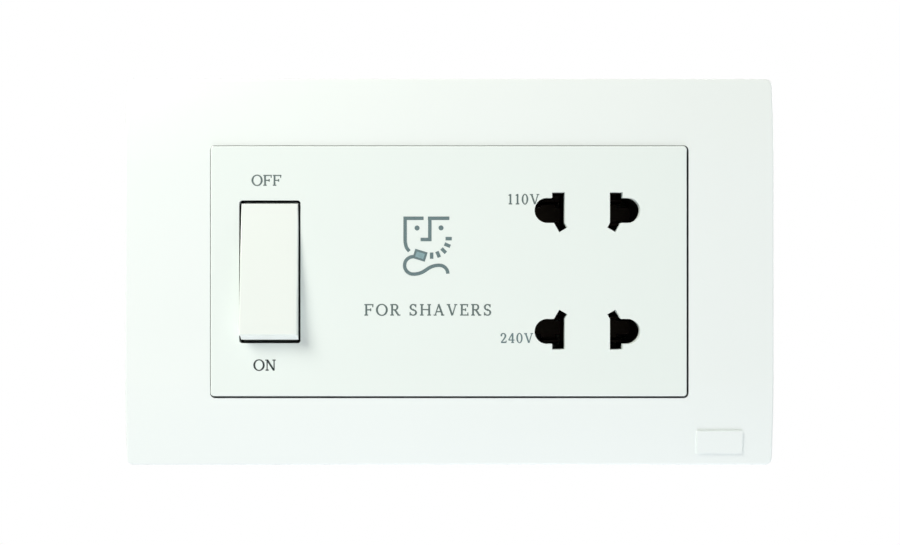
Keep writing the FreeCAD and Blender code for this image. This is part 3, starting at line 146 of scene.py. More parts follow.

# Nodes whose finish differs from that of their material slot: the panel is a separate, slightly darker
# moulding, and the strips behind the pin holes get brass darkened as painted shade, so that the holes look black
# from the front
NODE_FINISHES = {
    "socket_panel": "panel_white",
    "contact_110_left": "shade_painted_bronze",
    "contact_110_right": "shade_painted_bronze",
    "contact_240_left": "shade_painted_bronze",
    "contact_240_right": "shade_painted_bronze",
    "common_link": "shade_painted_bronze",
}

# Most values of a noise lie between these two
NOISE_LOW = 0.3
NOISE_HIGH = 0.7

# Pitch of the wave texture's ridges at scale 1
RIDGE_PITCH = 0.314

# Moulded plastic: clouds in the colour, patches of gloss, sinks where the melt shrank, grain of the mould
CLOUD_SIZE = 45 * MM
GLOSS_SIZE = 3 * MM
SINK = Grain(22 * MM, 0.03 * MM)
FRONT_GRAIN = Grain(0.5 * MM, 0.005 * MM)
HOUSING_GRAIN = Grain(0.35 * MM, 0.02 * MM)
NYLON_GRAIN = Grain(0.4 * MM, 0.012 * MM)
SLEEVE_GRAIN = Grain(0.5 * MM, 0.006 * MM)

# How much the colour of the leads' sleeves varies
SLEEVE_CLOUDS = {"lead_brown": 0.05, "lead_blue": 0.05, "lead_green": 0.05, "lead_white": 0.03}

# Painted shade in the joints, a dark colour where little open space is left around a point: its reach, and the
# open shares below which it is full and above which there is none
PAINTED_JOINT_SHADE = srgb(12, 12, 11)
PAINTED_SHADE_REACH = 1.0 * MM
PANEL_PAINTED_SHADE = (0.3, 0.55)
ROCKER_PAINTED_SHADE = (0.6, 0.9)
PAINTED_SHADE_SAMPLES = 16

# Rolled metal: patches of tarnish, and fine lines that lie so many times closer along X, Y and Z
TARNISH_SIZE = 4 * MM
LINE_SIZE = 0.25 * MM
LINE_RELIEF = Grain(0.12 * MM, 0.004 * MM)
STRIP_LINES = (1, 9, 1)
STEEL_LINES = (6, 1, 1)

# Transformer: edges of the core's sheets, and turns of the windings
SHEET_RELIEF = Grain(0.5 * MM, 0.06 * MM)
VARNISH_SIZE = 2 * MM
TURN_RELIEF = Grain(0.4 * MM, 0.12 * MM)
ENAMEL_SIZE = 1.5 * MM

# Printing ink
INK_THICK = 0.03 * MM
INK_SPECK = 0.35 * MM
INK_DRY_PATCH = 0.6 * MM
INK_GRAIN = Grain(0.09 * MM, 0.004 * MM)

# Corners of a print's outline closer than this, in its own units, are one
MERGE_DISTANCE = 1e-6

# Letters in units of their cap height: widths of strokes, place of a first stem, levels of the outer bars
STEM = 0.16
BROAD_STEM = 1.1 * STEM
HAIR = 0.095
STEM_X = 0.2
BASE_BAR = HAIR / 2
TOP_BAR = 1 - HAIR / 2
SERIF_REACH = 0.16
BEAK_ROOT = 1.4 * HAIR
BEAK_TIP = 0.7 * HAIR
BOWL_STEPS = 28

# Printed words
WORDS = {
    "off_mark": Word("OFF", left=-44.73, right=-37.9, baseline=19.45, cap=2.45, ink="print_ink"),
    "on_mark": Word("ON", left=-44.33, right=-39.17, baseline=-22.34, cap=2.5, ink="fresh_ink"),
    "upper_voltage_mark": Word("110V", left=13.1, right=20.4, baseline=15.24, cap=2.34, ink="print_ink"),
    "lower_voltage_mark": Word("240V", left=11.5, right=19.0, baseline=-16.1, cap=2.25, ink="faded_ink"),
    "use_mark": Word("FOR SHAVERS", left=-19.3, right=9.6, baseline=-9.9, cap=2.6, ink="print_ink"),
}

# Printed sign, in millimetres from the plate's centre: a head, its stubble, a shaver and the shaver's cord
SIGN_STROKE = 0.78
BROW_Z = 12.1
HEAD_LEFT = -10.0
BROW_SPLIT = (-5.83, -4.85)
BROW_RIGHT = 0.0
NOSE_X = -4.42
NOSE_TIP = (-6.5, 7.3)
EYES = ((-7.3, 9.9), (-1.88, 9.93))
EYE_RADIUS = 0.56
EYE_STROKE = 0.35 * EYE_RADIUS
EYE_STEP = 10
JAW_TOP = (HEAD_LEFT, 6.8)
JAW_CORNER = (-9.75, 5.45)
JAW_END = (-9.05, 4.65)
STUBBLE_CENTRE = (-4.01, 7.5)
STUBBLE_RADIUS = 3.85
STUBBLE_LENGTH = 1.4
STUBBLE_COUNT = 5
STUBBLE_SWEEP = -90
SHAVER_CENTRE = (-6.63, 3.74)
SHAVER_SIZE = (2.9, 2.2)
SHAVER_BORDER = 0.5
SHAVER_LEAN = -17.0
CORD_START = (-7.8, 3.43)
LOOP_CENTRE = (-8.15, 1.45)
LOOP_RADIUS = 1.98
WAVE_TOP = (-2.25, 1.48)
WAVE_RADIUS = 1.9

# Raised letters on the back, beside the terminals
TERMINAL_MARKS = {"terminal_live": "L", "terminal_neutral": "N", "terminal_earth": "E"}
MARK_CAP = 4.0
MARK_GAP = 4.5
MARK_RISE = 0.3 * MM

# The rocker's spring, whose places run along its axis from the rocker's pivot; its end turns are closed up
SPRING_START = 1.2 * MM
SPRING_LENGTH = 3.6 * MM
SPRING_RADIUS = 1.0 * MM
WIRE_RADIUS = 0.19 * MM
CLOSED_PITCH = 0.42 * MM
SPRING_TURNS = 5
STEPS_PER_TURN = 32
WIRE_SIDES = 10
SPRING_AXIS = Vector((0, 1, 0))

# Studio: white surroundings, a key lamp at the upper left, fill from below and from the right, one lamp for
# the back, and a floor far below that fades into the white
SURROUND = srgb(255, 255, 255)
SURROUND_LEVEL = 0.3
LAMPS = {
    "key_lamp": Lamp((-0.42, -0.35, 0.44), size=0.36, power=4.7, colour=(1.0, 0.98, 0.91)),
    "low_lamp": Lamp((0.05, -0.18, -0.45), size=0.3, power=1.28, colour=(0.9, 0.92, 1.0)),
    "side_lamp": Lamp((0.6, -0.06, 0.04), size=0.3, power=1.0, colour=(1.0, 1.0, 1.0)),
    "back_lamp": Lamp((0.35, 0.6, 0.2), size=0.4, power=2.6, colour=(1.0, 1.0, 1.0)),
}
FLOOR_DROP = 500 * MM
FLOOR_SIZE = 8.0
FLOOR_CELLS = 4
FLOOR_CLOUD = 0.4
FLOOR_GRAIN = Grain(4 * MM, 0.05 * MM)
FLOOR_GLOW = 0.4
FLOOR_FADE = (0.6, 1.8)


def shaded(colour, factor):
    return tuple(min(channel * factor, 1.0) for channel in colour[:3]) + (1.0,)


class Surface:
    """A material's node tree with one principled shader and a few helpers to feed it."""

    def __init__(self, name, metallic=0.0):
        self.name = name
        self.colour, self.roughness = FINISHES[name]
        self.material = bpy.data.materials.new(name)
        self.material.use_nodes = True
        self.tree = self.material.node_tree
        self.shader = self.tree.nodes["Principled BSDF"]
        self.shader.inputs["Roughness"].default_value = self.roughness
        self.shader.inputs["Metallic"].default_value = metallic
        self.coords = self.tree.nodes.new("ShaderNodeTexCoord").outputs["Object"]
        self.tinted = None
        self.normal = None

    def node(self, kind, **settings):
        made = self.tree.nodes.new(kind)
        for key, value in settings.items():
            setattr(made, key, value)
        return made

    def link(self, source, target):
        self.tree.links.new(source, target)

    def noise(self, size, detail=3.0, stretch=(1, 1, 1)):
        # Noise whose features are about the given size in metres
        mapping = self.node("ShaderNodeMapping")
        mapping.inputs["Scale"].default_value = [axis / size for axis in stretch]
        self.link(self.coords, mapping.inputs["Vector"])
        texture = self.node("ShaderNodeTexNoise")
        texture.inputs["Scale"].default_value = 1.0
        texture.inputs["Detail"].default_value = detail
        self.link(mapping.outputs["Vector"], texture.inputs["Vector"])
        return texture.outputs["Fac"]

    def bands(self, pitch, axis, distortion):
        # Regular ridges at the given pitch in metres along one axis
        texture = self.node("ShaderNodeTexWave", wave_type="BANDS", bands_direction=axis)
        texture.inputs["Scale"].default_value = RIDGE_PITCH / pitch
        texture.inputs["Distortion"].default_value = distortion
        self.link(self.coords, texture.inputs["Vector"])
        return texture.outputs["Fac"]

    def ranged(self, source, low, high, start=NOISE_LOW, stop=NOISE_HIGH):
        spread = self.node("ShaderNodeMapRange")
        spread.inputs["From Min"].default_value = start
        spread.inputs["From Max"].default_value = stop
        spread.inputs["To Min"].default_value = low
        spread.inputs["To Max"].default_value = high
        self.link(source, spread.inputs["Value"])
        return spread.outputs["Result"]

    def tint(self, source, darkest, lightest, start=NOISE_LOW, stop=NOISE_HIGH):
        # The finish's colour, varied between two shades of it
        ramp = self.node("ShaderNodeValToRGB")
        dark, light = ramp.color_ramp.elements
        dark.position = start
        dark.color = shaded(self.colour, darkest)
        light.position = stop
        light.color = shaded(self.colour, lightest)
        self.link(source, ramp.inputs["Fac"])
        self.tinted = ramp.outputs["Color"]
        self.link(self.tinted, self.shader.inputs["Base Color"])

    def paint_joint_shade(self, shares):
        # Painted shade: a dark colour where a joint is so narrow that hardly any open space is left within reach
        openness = self.node("ShaderNodeAmbientOcclusion", samples=PAINTED_SHADE_SAMPLES)
        openness.inputs["Distance"].default_value = PAINTED_SHADE_REACH
        blend = self.node("ShaderNodeMixRGB")
        blend.inputs["Color1"].default_value = PAINTED_JOINT_SHADE
        self.link(self.ranged(openness.outputs["AO"], 0.0, 1.0, *shares), blend.inputs["Fac"])
        self.link(self.tinted, blend.inputs["Color2"])
        self.link(blend.outputs["Color"], self.shader.inputs["Base Color"])

    def rough(self, source, less, more):
        # Roughness from so much less to so much more than the finish's own
        spread = self.ranged(source, self.roughness - less, self.roughness + more)
        self.link(spread, self.shader.inputs["Roughness"])

    def bump(self, source, depth, strength):
        # Bumps add up: each new one is laid over those before it
        made = self.node("ShaderNodeBump")
        made.inputs["Strength"].default_value = strength
        made.inputs["Distance"].default_value = depth
        self.link(source, made.inputs["Height"])
        if self.normal:
            self.link(self.normal, made.inputs["Normal"])
        self.normal = made.outputs["Normal"]
        self.link(self.normal, self.shader.inputs["Normal"])

    def coat(self, weight):
        self.shader.inputs["Coat Weight"].default_value = weight


def moulded_plastic(name, grain, cloud=0.03, wear=0.05):
    # Injection moulding, with its colour and its gloss varying by the given shares
    surface = Surface(name)
    surface.tint(surface.noise(CLOUD_SIZE, detail=2.0), darkest=1 - cloud, lightest=1 + cloud)
    surface.rough(surface.noise(GLOSS_SIZE, detail=4.0), less=wear, more=wear)
    surface.bump(surface.noise(SINK.size, detail=1.0), SINK.depth, strength=0.35)
    surface.bump(surface.noise(grain.size, detail=2.0), grain.depth, strength=0.5)
    return surface


def front_plastic(name, painted_shade_shares=PANEL_PAINTED_SHADE):
    # The visible mouldings, smooth and even, with painted shade in the joints between them
    surface = moulded_plastic(name, FRONT_GRAIN, cloud=0.004, wear=0.012)
    surface.paint_joint_shade(painted_shade_shares)
    return surface


def rolled_metal(name, lines):
    # Rolled or drawn metal: fine lines and patchy tarnish
    surface = Surface(name, metallic=1.0)
    surface.tint(surface.noise(TARNISH_SIZE), darkest=0.82, lightest=1.08)
    surface.rough(surface.noise(LINE_SIZE, stretch=lines), less=0.08, more=0.12)
    relief = surface.noise(LINE_RELIEF.size, detail=2.0, stretch=lines)
    surface.bump(relief, LINE_RELIEF.depth, strength=0.6)
    return surface


def laminated_core(name):
    # Edges of thin sheets stacked along Y, with a thin coat of varnish
    surface = Surface(name, metallic=0.85)
    sheets = surface.bands(SHEET_RELIEF.size, "Y", distortion=0.6)
    surface.tint(sheets, darkest=0.55, lightest=1.25, start=0.1, stop=0.6)
    surface.rough(surface.noise(VARNISH_SIZE), less=0.08, more=0.1)
    surface.bump(sheets, SHEET_RELIEF.depth, strength=0.8)
    surface.coat(0.3)
    return surface


def wound_wire(name):
    # Layers of enamelled wire wound round Z
    surface = Surface(name, metallic=0.9)
    turns = surface.bands(TURN_RELIEF.size, "Z", distortion=0.4)
    surface.tint(turns, darkest=0.35, lightest=1.2, start=0.05, stop=0.7)
    surface.rough(surface.noise(ENAMEL_SIZE), less=0.06, more=0.1)
    surface.bump(turns, TURN_RELIEF.depth, strength=0.9)
    surface.coat(0.5)
    return surface


def printed_ink(name):
    # Pad-printed ink: slightly uneven density and a dry surface
    surface = Surface(name)
    surface.tint(surface.noise(INK_SPECK), darkest=0.9, lightest=1.14)
    surface.rough(surface.noise(INK_DRY_PATCH), less=0.07, more=0.11)
    surface.bump(surface.noise(INK_GRAIN.size), INK_GRAIN.depth, strength=0.5)
    return surface


def make_surfaces():
    made = [
        front_plastic("white_moulding"),
        front_plastic("panel_white"),
        # The rocker's joints get a darker painted shade than the others'
        front_plastic("rocker_white", ROCKER_PAINTED_SHADE),
        moulded_plastic("housing_white", HOUSING_GRAIN),
        moulded_plastic("black_moulding", HOUSING_GRAIN, cloud=0.1),
        moulded_plastic("natural_nylon", NYLON_GRAIN),
        rolled_metal("contact_brass", STRIP_LINES),
        # Brass darkened as painted shade for the strips behind the pin holes
        rolled_metal("shade_painted_bronze", STRIP_LINES),
        rolled_metal("zinc_steel", STEEL_LINES),
        laminated_core("core_steel"),
        wound_wire("enamelled_copper"),
    ]
    made += [moulded_plastic(name, SLEEVE_GRAIN, cloud) for name, cloud in SLEEVE_CLOUDS.items()]
    made += [printed_ink(name) for name in INKS]
    return {surface.name: surface for surface in made}


def dress_cad_nodes(surfaces):
    for part in frame["record"]["subparts"]:
        node = frame["nodes"][part["node"]]
        finish = NODE_FINISHES.get(part["node"], part["material_slot"])
        node.data.materials.clear()
        node.data.materials.append(surfaces[finish].material)


def stroke(points, widths):
    # Quads along a polyline, one per segment, widths given at each point
    quads = []
    for index in range(len(points) - 1):
        start = Vector(points[index])
        end = Vector(points[index + 1])
        along = (end - start).normalized()
        side = Vector((-along.y, along.x))
        first = side * widths[index] / 2
        last = side * widths[index + 1] / 2
        quads.append([start + first, start - first, end - last, end + last])
    return quads


def line(start, end, width):
    return stroke([start, end], [width, width])


def upright(x, low=0.0, high=1.0, width=STEM):
    return line((x, low), (x, high), width)


def bar(left, right, level):
    return line((left, level), (right, level), HAIR)


def serif(x, level=BASE_BAR, reach=SERIF_REACH):
    # Hairline across the end of a stem, inside the cap height
    return bar(x - reach, x + reach, level)


def beak(x, root, tip):
    # Tapered serif at the end of a bar
    return stroke([(x, root), (x, tip)], [BEAK_ROOT, BEAK_TIP])


def bowl(centre, radius, start, stop, thick=STEM):
    # Arc of an ellipse, thick at the sides and a hairline at the top and bottom
    points = []
    widths = []
    for index in range(BOWL_STEPS + 1):
        turn = math.radians(start + (stop - start) * index / BOWL_STEPS)
        points.append((centre[0] + radius[0] * math.cos(turn), centre[1] + radius[1] * math.sin(turn)))
        widths.append(HAIR + (thick - HAIR) * math.cos(turn) ** 2)
    return stroke(points, widths)


# Each letter gives its advance and its quads, both in units of the cap height


def letter_o():
    return 1.04, bowl((0.52, 0.5), (0.43, 0.48), 0, 360, BROAD_STEM)


def letter_f():
    quads = upright(STEM_X) + serif(STEM_X) + bar(0.04, 0.78, TOP_BAR)
    quads += bar(STEM_X, 0.58, 0.5) + upright(0.58, 0.38, 0.62, HAIR)
    return 0.86, quads + beak(0.765, 1, 0.72)


def letter_n():
    quads = upright(0.19, width=HAIR) + upright(0.82, width=HAIR) + serif(0.19, BASE_BAR, 0.14)
    quads += serif(0.82, TOP_BAR, 0.14) + serif(0.12, TOP_BAR, 0.09)
    return 1.0, quads + line((0.2, 0.97), (0.8, 0.03), STEM * 1.05)


def letter_v():
    quads = line((0.17, 0.98), (0.5, 0.02), STEM) + line((0.8, 0.98), (0.52, 0.02), HAIR)
    return 0.96, quads + serif(0.17, TOP_BAR, 0.15) + serif(0.8, TOP_BAR, 0.13)


def letter_r():
    quads = upright(STEM_X) + serif(STEM_X) + serif(0.12, TOP_BAR, 0.08) + bar(STEM_X, 0.46, 0.96)
    quads += bowl((0.46, 0.735), (0.2, 0.23), -90, 90) + bar(STEM_X, 0.46, 0.505)
    return 0.92, quads + line((0.44, 0.5), (0.76, 0.02), STEM) + bar(0.7, 0.92, BASE_BAR)


def letter_s():
    quads = bowl((0.36, 0.735), (0.23, 0.23), 30, 255) + bowl((0.36, 0.265), (0.25, 0.23), -150, 75)
    quads += line((0.3, 0.54), (0.43, 0.46), STEM)
    return 0.74, quads + line((0.585, 0.98), (0.585, 0.72), HAIR) + line((0.1, 0.3), (0.1, 0.02), HAIR)


def letter_h():
    right = 0.84
    quads = upright(STEM_X) + upright(right) + bar(STEM_X, right, 0.52)
    for x in (STEM_X, right):
        quads += serif(x) + serif(x, TOP_BAR)
    return 1.04, quads


def letter_a():
    quads = line((0.15, 0.02), (0.46, 0.98), HAIR) + line((0.44, 1.0), (0.8, 0.02), STEM)
    return 0.96, quads + bar(0.25, 0.68, 0.34) + serif(0.14, BASE_BAR, 0.13) + serif(0.8, BASE_BAR, 0.15)


def letter_l():
    quads = upright(STEM_X) + serif(STEM_X, TOP_BAR) + bar(0.04, 0.7, BASE_BAR)
    return 0.76, quads + beak(0.685, 0, 0.27)


def letter_e():
    quads = upright(STEM_X) + bar(0.04, 0.7, TOP_BAR) + bar(0.04, 0.74, BASE_BAR)
    quads += bar(STEM_X, 0.52, 0.51) + upright(0.52, 0.39, 0.63, HAIR)
    return 0.8, quads + beak(0.685, 1, 0.75) + beak(0.725, 0, 0.27)


def figure_0():
    return 0.66, bowl((0.33, 0.5), (0.235, 0.475), 0, 360)


def figure_1():
    return 0.56, upright(0.3) + serif(0.3, BASE_BAR, 0.17) + line((0.12, 0.86), (0.3, 0.96), HAIR)


def figure_2():
    quads = bowl((0.31, 0.72), (0.21, 0.24), -30, 165, BROAD_STEM)
    quads += stroke([(0.5, 0.62), (0.38, 0.4), (0.1, 0.09)], [STEM, STEM * 0.8, HAIR])
    quads += line((0.08, 0.065), (0.56, 0.065), 0.13) + line((0.565, 0.03), (0.6, 0.24), HAIR)
    return 0.68, quads + line((0.1, 0.68), (0.13, 0.8), STEM * 0.9)


def figure_4():
    quads = upright(0.45) + line((0.43, 0.98), (0.06, 0.31), HAIR) + bar(0.05, 0.64, 0.3)
    return 0.7, quads + serif(0.45, BASE_BAR, 0.14)


def word_space():
    return 0.4, []


GLYPHS = {
    "O": letter_o, "F": letter_f, "N": letter_n, "V": letter_v, "R": letter_r, "S": letter_s,
    "H": letter_h, "A": letter_a, "E": letter_e, "L": letter_l,
    "0": figure_0, "1": figure_1, "2": figure_2, "4": figure_4, " ": word_space,
}


def word_quads(text, length):
    # Quads of a whole word on a unit cap height, its letters spaced out to fill the length
    glyphs = [GLYPHS[character]() for character in text]
    spacing = (length - sum(advance for advance, _ in glyphs)) / (len(glyphs) - 1)
    quads = []
    pen = 0.0
    for advance, glyph in glyphs:
        quads += [[point + Vector((pen, 0)) for point in quad] for quad in glyph]
        pen += advance + spacing
    return quads


def union_triangles(quads):
    # One flat outline from overlapping quads: keep the triangles that lie in any quad
    points = [point for quad in quads for point in quad]
    faces = []
    for index in range(0, len(points), 4):
        turn = (points[index + 1] - points[index]).cross(points[index + 2] - points[index])
        order = [index, index + 1, index + 2, index + 3]
        faces.append(order if turn > 0 else order[::-1])
    places, _, triangles, _, _, sources = delaunay_2d_cdt(points, [], faces, 0, MERGE_DISTANCE)
    return places, [face for face, source in zip(triangles, sources) if source]


def border_edges(triangles):
    # Edges that only one triangle has, in that triangle's direction
    borders = {}
    for triangle in triangles:
        for start, end in zip(triangle, triangle[1:] + triangle[:1]):
            if borders.pop((end, start), None) is None:
                borders[start, end] = True
    return list(borders)


def add_piece(name, mesh, surface):
    data = bpy.data.meshes.new(name)
    mesh.to_mesh(data)
    mesh.free()
    data.materials.append(surface.material)
    piece = bpy.data.objects.new(name, data)
    bpy.context.scene.collection.objects.link(piece)
    return piece


def raised_piece(name, quads, surface, face_y, rise):
    # A closed layer with the quads' outline, standing on a face across Y; quads are in millimetres
    places, triangles = union_triangles(quads)
    mesh = bmesh.new()
    front = [mesh.verts.new((point.x * MM, face_y + rise, point.y * MM)) for point in places]
    back = [mesh.verts.new((point.x * MM, face_y, point.y * MM)) for point in places]
    for triangle in triangles:
        mesh.faces.new([front[index] for index in triangle])
        mesh.faces.new([back[index] for index in reversed(triangle)])
    for start, end in border_edges(triangles):
        mesh.faces.new((front[end], front[start], back[start], back[end]))
    loose = [vertex for vertex in mesh.verts if not vertex.link_faces]
    bmesh.ops.delete(mesh, geom=loose, context="VERTS")
    bmesh.ops.recalc_face_normals(mesh, faces=mesh.faces)
    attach(add_piece(name, mesh, surface), "housing")


def mould_terminal_marks(surface):
    # Raised letters on the back of the housing, one beside each terminal, to be read from behind
    face_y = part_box("rear_housing")[1].y
    near_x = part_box("terminal_block")[1].x / MM + MARK_GAP
    for node, letter in TERMINAL_MARKS.items():
        low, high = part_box(node)
        advance, glyph = GLYPHS[letter]()
        corner = Vector((near_x + advance * MARK_CAP, (low.z + high.z) / 2 / MM - MARK_CAP / 2))
        quads = [[corner + Vector((-point.x, point.y)) * MARK_CAP for point in quad] for quad in glyph]
        raised_piece(node + "_mark", quads, surface, face_y, MARK_RISE)


def printed_piece(name, quads, ink):
    # A thin film of ink on the panel's face
    raised_piece(name, quads, ink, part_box("socket_panel")[0].y, -INK_THICK)


def print_words(surfaces):
    for name, word in WORDS.items():
        corner = Vector((word.left, word.baseline))
        quads = word_quads(word.text, (word.right - word.left) / word.cap)
        placed = [[corner + point * word.cap for point in quad] for quad in quads]
        printed_piece(name, placed, surfaces[word.ink])


def even_stroke(points, width=SIGN_STROKE):
    return stroke(points, [width] * len(points))


def arc_point(centre, radius, degrees):
    turn = math.radians(degrees)
    return (centre[0] + radius * math.cos(turn), centre[1] + radius * math.sin(turn))


def arc_points(centre, radius, start, stop, steps):
    return [arc_point(centre, radius, start + (stop - start) * index / steps) for index in range(steps + 1)]


def curve_points(start, first, second, end, steps):
    # Cubic curve with two handles, from its start on but without it
    return interpolate_bezier(start, first, second, end, steps + 1)[1:]


def sign_eye(centre):
    # A disc as a fan of strokes across it
    quads = []
    for turn in range(0, 180, EYE_STEP):
        ends = [arc_point(centre, EYE_RADIUS, turn), arc_point(centre, EYE_RADIUS, turn + 180)]
        quads += even_stroke(ends, EYE_STROKE)
    return quads


def sign_head():
    half = SIGN_STROKE / 2
    jaw = curve_points(JAW_TOP, JAW_CORNER, JAW_CORNER, JAW_END, steps=8)
    quads = even_stroke([(HEAD_LEFT - half, BROW_Z), (BROW_SPLIT[0], BROW_Z)])
    quads += even_stroke([(HEAD_LEFT, BROW_Z), JAW_TOP] + jaw)
    quads += even_stroke([(BROW_SPLIT[1], BROW_Z), (BROW_RIGHT, BROW_Z)])
    quads += even_stroke([(NOSE_X, BROW_Z), (NOSE_X, NOSE_TIP[1] - half)])
    quads += even_stroke([(NOSE_X, NOSE_TIP[1]), NOSE_TIP])
    for eye in EYES:
        quads += sign_eye(eye)
    return quads


def sign_stubble():
    quads = []
    for index in range(STUBBLE_COUNT):
        turn = STUBBLE_SWEEP * index / (STUBBLE_COUNT - 1)
        inner = arc_point(STUBBLE_CENTRE, STUBBLE_RADIUS - STUBBLE_LENGTH / 2, turn)
        outer = arc_point(STUBBLE_CENTRE, STUBBLE_RADIUS + STUBBLE_LENGTH / 2, turn)
        quads += even_stroke([inner, outer])
    return quads


def shaver_block(inset):
    # The shaver's leaning body as one broad stroke, drawn in from its edges
    lean = math.radians(SHAVER_LEAN)
    reach = Vector((math.cos(lean), math.sin(lean))) * (SHAVER_SIZE[0] / 2 - inset)
    centre = Vector(SHAVER_CENTRE)
    return even_stroke([centre - reach, centre + reach], SHAVER_SIZE[1] - 2 * inset)


def shaver_border():
    outer = shaver_block(0.0)[0]
    inner = shaver_block(SHAVER_BORDER)[0]
    return [[outer[at - 1], outer[at], inner[at], inner[at - 1]] for at in range(4)]


def sign_cord():
    # Half a loop, a wave that rises from its lowest point, and a quarter turn down at the end
    loop = arc_points(LOOP_CENTRE, LOOP_RADIUS, 90, 270, steps=24)
    low = loop[-1]
    middle = (low[0] + WAVE_TOP[0]) / 2
    wave = curve_points(low, (middle, low[1]), (middle, WAVE_TOP[1]), WAVE_TOP, steps=20)
    end_centre = (WAVE_TOP[0], WAVE_TOP[1] - WAVE_RADIUS)
    end = arc_points(end_centre, WAVE_RADIUS, 90, 0, steps=12)
    return even_stroke([CORD_START] + loop + wave + end[1:])


def print_sign(ink, pale_ink):
    printed_piece("shaver_sign", sign_head() + sign_stubble() + shaver_border() + sign_cord(), ink)
    printed_piece("shaver_body", shaver_block(SHAVER_BORDER), pale_ink)


def spring_frame():
    # From the spring's own axes to its place: X along the rocker's hinge, Y along the plunger's slide,
    # away from the panel's face
    joints = {joint["name"]: joint for joint in frame["joints"]}
    hinge = Vector(joints["rocker_tilt"]["axis"])
    slide = -Vector(joints["plunger_slide"]["axis"]).normalized()
    turned = Matrix((hinge, slide, hinge.cross(slide))).transposed()
    return Matrix.Translation(joints["rocker_tilt"]["pos_m"]) @ turned.to_4x4()


def spring_path():
    # The wire's turn in radians and its distance along the axis, with one closed turn at each end
    inner = SPRING_TURNS - 2
    pitch = (SPRING_LENGTH - 2 * CLOSED_PITCH) / inner
    path = []
    for index in range(SPRING_TURNS * STEPS_PER_TURN + 1):
        turns = index / STEPS_PER_TURN
        along = CLOSED_PITCH * min(turns, 1.0) + pitch * min(max(turns - 1, 0.0), inner)
        along += CLOSED_PITCH * max(turns - 1 - inner, 0.0)
        path.append((math.tau * turns, SPRING_START + along))
    return path


def wire_ring(turn, along):
    # Points round the wire at one step of its path
    outward = Vector((math.cos(turn), 0, math.sin(turn)))
    centre = outward * SPRING_RADIUS + SPRING_AXIS * along
    ring = []
    for side in range(WIRE_SIDES):
        angle = math.tau * side / WIRE_SIDES
        ring.append(centre + WIRE_RADIUS * (outward * math.cos(angle) + SPRING_AXIS * math.sin(angle)))
    return ring


def wind_detent_spring(surface):
    # The spring between the rocker and its plunger, wound as one fixed piece with its end turns closed up
    place = spring_frame()
    mesh = bmesh.new()
    rings = [[mesh.verts.new(place @ point) for point in wire_ring(*step)] for step in spring_path()]
    for first, second in zip(rings, rings[1:]):
        for at in range(WIRE_SIDES):
            mesh.faces.new((first[at - 1], first[at], second[at], second[at - 1]))
    mesh.faces.new(rings[0])
    mesh.faces.new(rings[-1])
    bmesh.ops.recalc_face_normals(mesh, faces=mesh.faces)
    piece = add_piece("wound_spring", mesh, surface)
    piece.data.polygons.foreach_set("use_smooth", [True] * len(piece.data.polygons))
    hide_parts("detent_spring")
    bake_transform(piece)


def showing_rays(tree):
    # 1 for rays that show the surroundings directly, in a gloss or through glass
    path = tree.nodes.new("ShaderNodeLightPath")
    shown = path.outputs["Is Camera Ray"]
    for other in ("Is Glossy Ray", "Is Transmission Ray"):
        most = tree.nodes.new("ShaderNodeMath")
        most.operation = "MAXIMUM"
        tree.links.new(shown, most.inputs[0])
        tree.links.new(path.outputs[other], most.inputs[1])
        shown = most.outputs["Value"]
    return shown


def light_world():
    # White where it is seen, and dimmer as a light
    world = bpy.data.worlds.new("studio")
    bpy.context.scene.world = world
    world.use_nodes = True
    tree = world.node_tree
    background = tree.nodes["Background"]
    background.inputs["Color"].default_value = SURROUND
    level = tree.nodes.new("ShaderNodeMapRange")
    level.inputs["To Min"].default_value = SURROUND_LEVEL
    level.inputs["To Max"].default_value = 1.0
    tree.links.new(showing_rays(tree), level.inputs["Value"])
    tree.links.new(level.outputs["Result"], background.inputs["Strength"])


def add_lamp(name, lamp):
    light = bpy.data.lights.new(name, "AREA")
    light.shape = "DISK"
    light.size = lamp.size
    light.energy = lamp.power
    light.color = lamp.colour
    holder = bpy.data.objects.new(name, light)
    holder.location = lamp.place
    holder.rotation_euler = (-Vector(lamp.place)).to_track_quat("-Z", "Y").to_euler()
    bpy.context.scene.collection.objects.link(holder)


def floor_glow(surface):
    # How much of the floor's look is plain white: part of it below the object, all of it far away
    away = surface.node("ShaderNodeVectorMath", operation="LENGTH")
    surface.link(surface.coords, away.inputs[0])
    share = surface.node("ShaderNodeMath", operation="MULTIPLY")
    surface.link(showing_rays(surface.tree), share.inputs[0])
    surface.link(surface.ranged(away.outputs["Value"], FLOOR_GLOW, 1.0, *FLOOR_FADE), share.inputs[1])
    return share.outputs["Value"]


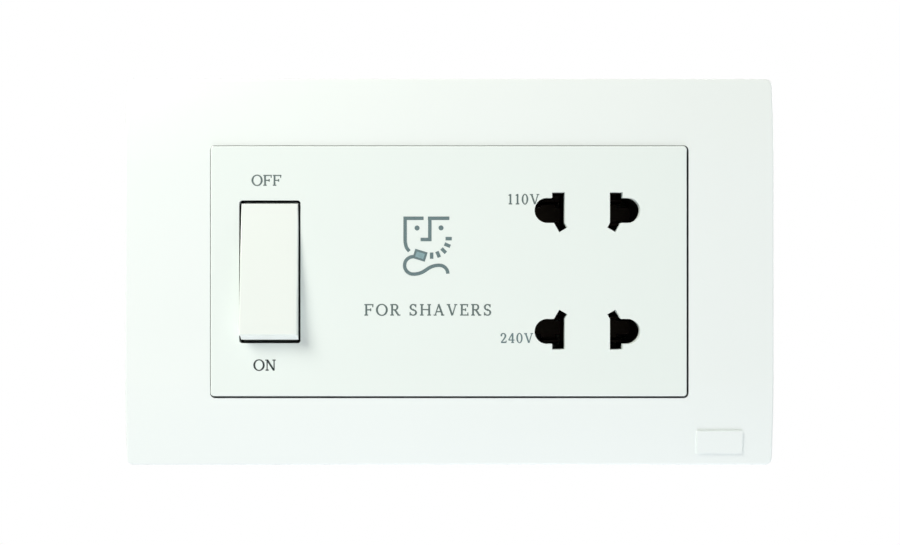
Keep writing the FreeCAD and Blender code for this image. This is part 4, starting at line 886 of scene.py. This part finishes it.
def pale_floor():
    surface = Surface("pale_floor")
    surface.tint(surface.noise(FLOOR_CLOUD, detail=2.0), darkest=0.99, lightest=1.0)
    surface.bump(surface.noise(FLOOR_GRAIN.size), FLOOR_GRAIN.depth, strength=0.2)
    white = surface.node("ShaderNodeEmission")
    mix = surface.node("ShaderNodeMixShader")
    surface.link(floor_glow(surface), mix.inputs["Fac"])
    surface.link(surface.shader.outputs["BSDF"], mix.inputs[1])
    surface.link(white.outputs["Emission"], mix.inputs[2])
    surface.link(mix.outputs["Shader"], surface.tree.nodes["Material Output"].inputs["Surface"])
    return surface


def add_floor():
    mesh = bmesh.new()
    bmesh.ops.create_grid(mesh, x_segments=FLOOR_CELLS, y_segments=FLOOR_CELLS, size=FLOOR_SIZE / 2)
    floor = add_piece("floor", mesh, pale_floor())
    floor.location.z = CAD_BOX[0].z - FLOOR_DROP


def add_camera():
    # Straight in front; the frame's width at the panel's face sets the lens
    camera = bpy.data.cameras.new("camera")
    camera.sensor_width = SENSOR_WIDTH
    shown_width = PICTURE_WIDTH / PIXELS_PER_MM * MM
    camera.lens = SENSOR_WIDTH * CAMERA_DISTANCE / shown_width
    holder = bpy.data.objects.new("camera", camera)
    face_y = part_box("socket_panel")[0].y
    across = (PICTURE_WIDTH / 2 - PLATE_CENTRE_PX[0]) / PIXELS_PER_MM * MM
    up = (PLATE_CENTRE_PX[1] - PICTURE_HEIGHT / 2) / PIXELS_PER_MM * MM
    holder.location = (across, face_y - CAMERA_DISTANCE, up)
    holder.rotation_euler = (math.pi / 2, 0, 0)
    bpy.context.scene.collection.objects.link(holder)
    bpy.context.scene.camera = holder


def main():
    bpy.context.scene.view_settings.view_transform = "Standard"
    surfaces = make_surfaces()
    dress_cad_nodes(surfaces)
    mould_terminal_marks(surfaces["housing_white"])
    wind_detent_spring(surfaces["zinc_steel"])
    print_words(surfaces)
    print_sign(surfaces["faded_ink"], surfaces["pale_ink"])
    light_world()
    for name, lamp in LAMPS.items():
        add_lamp(name, lamp)
    add_floor()
    add_camera()


main()
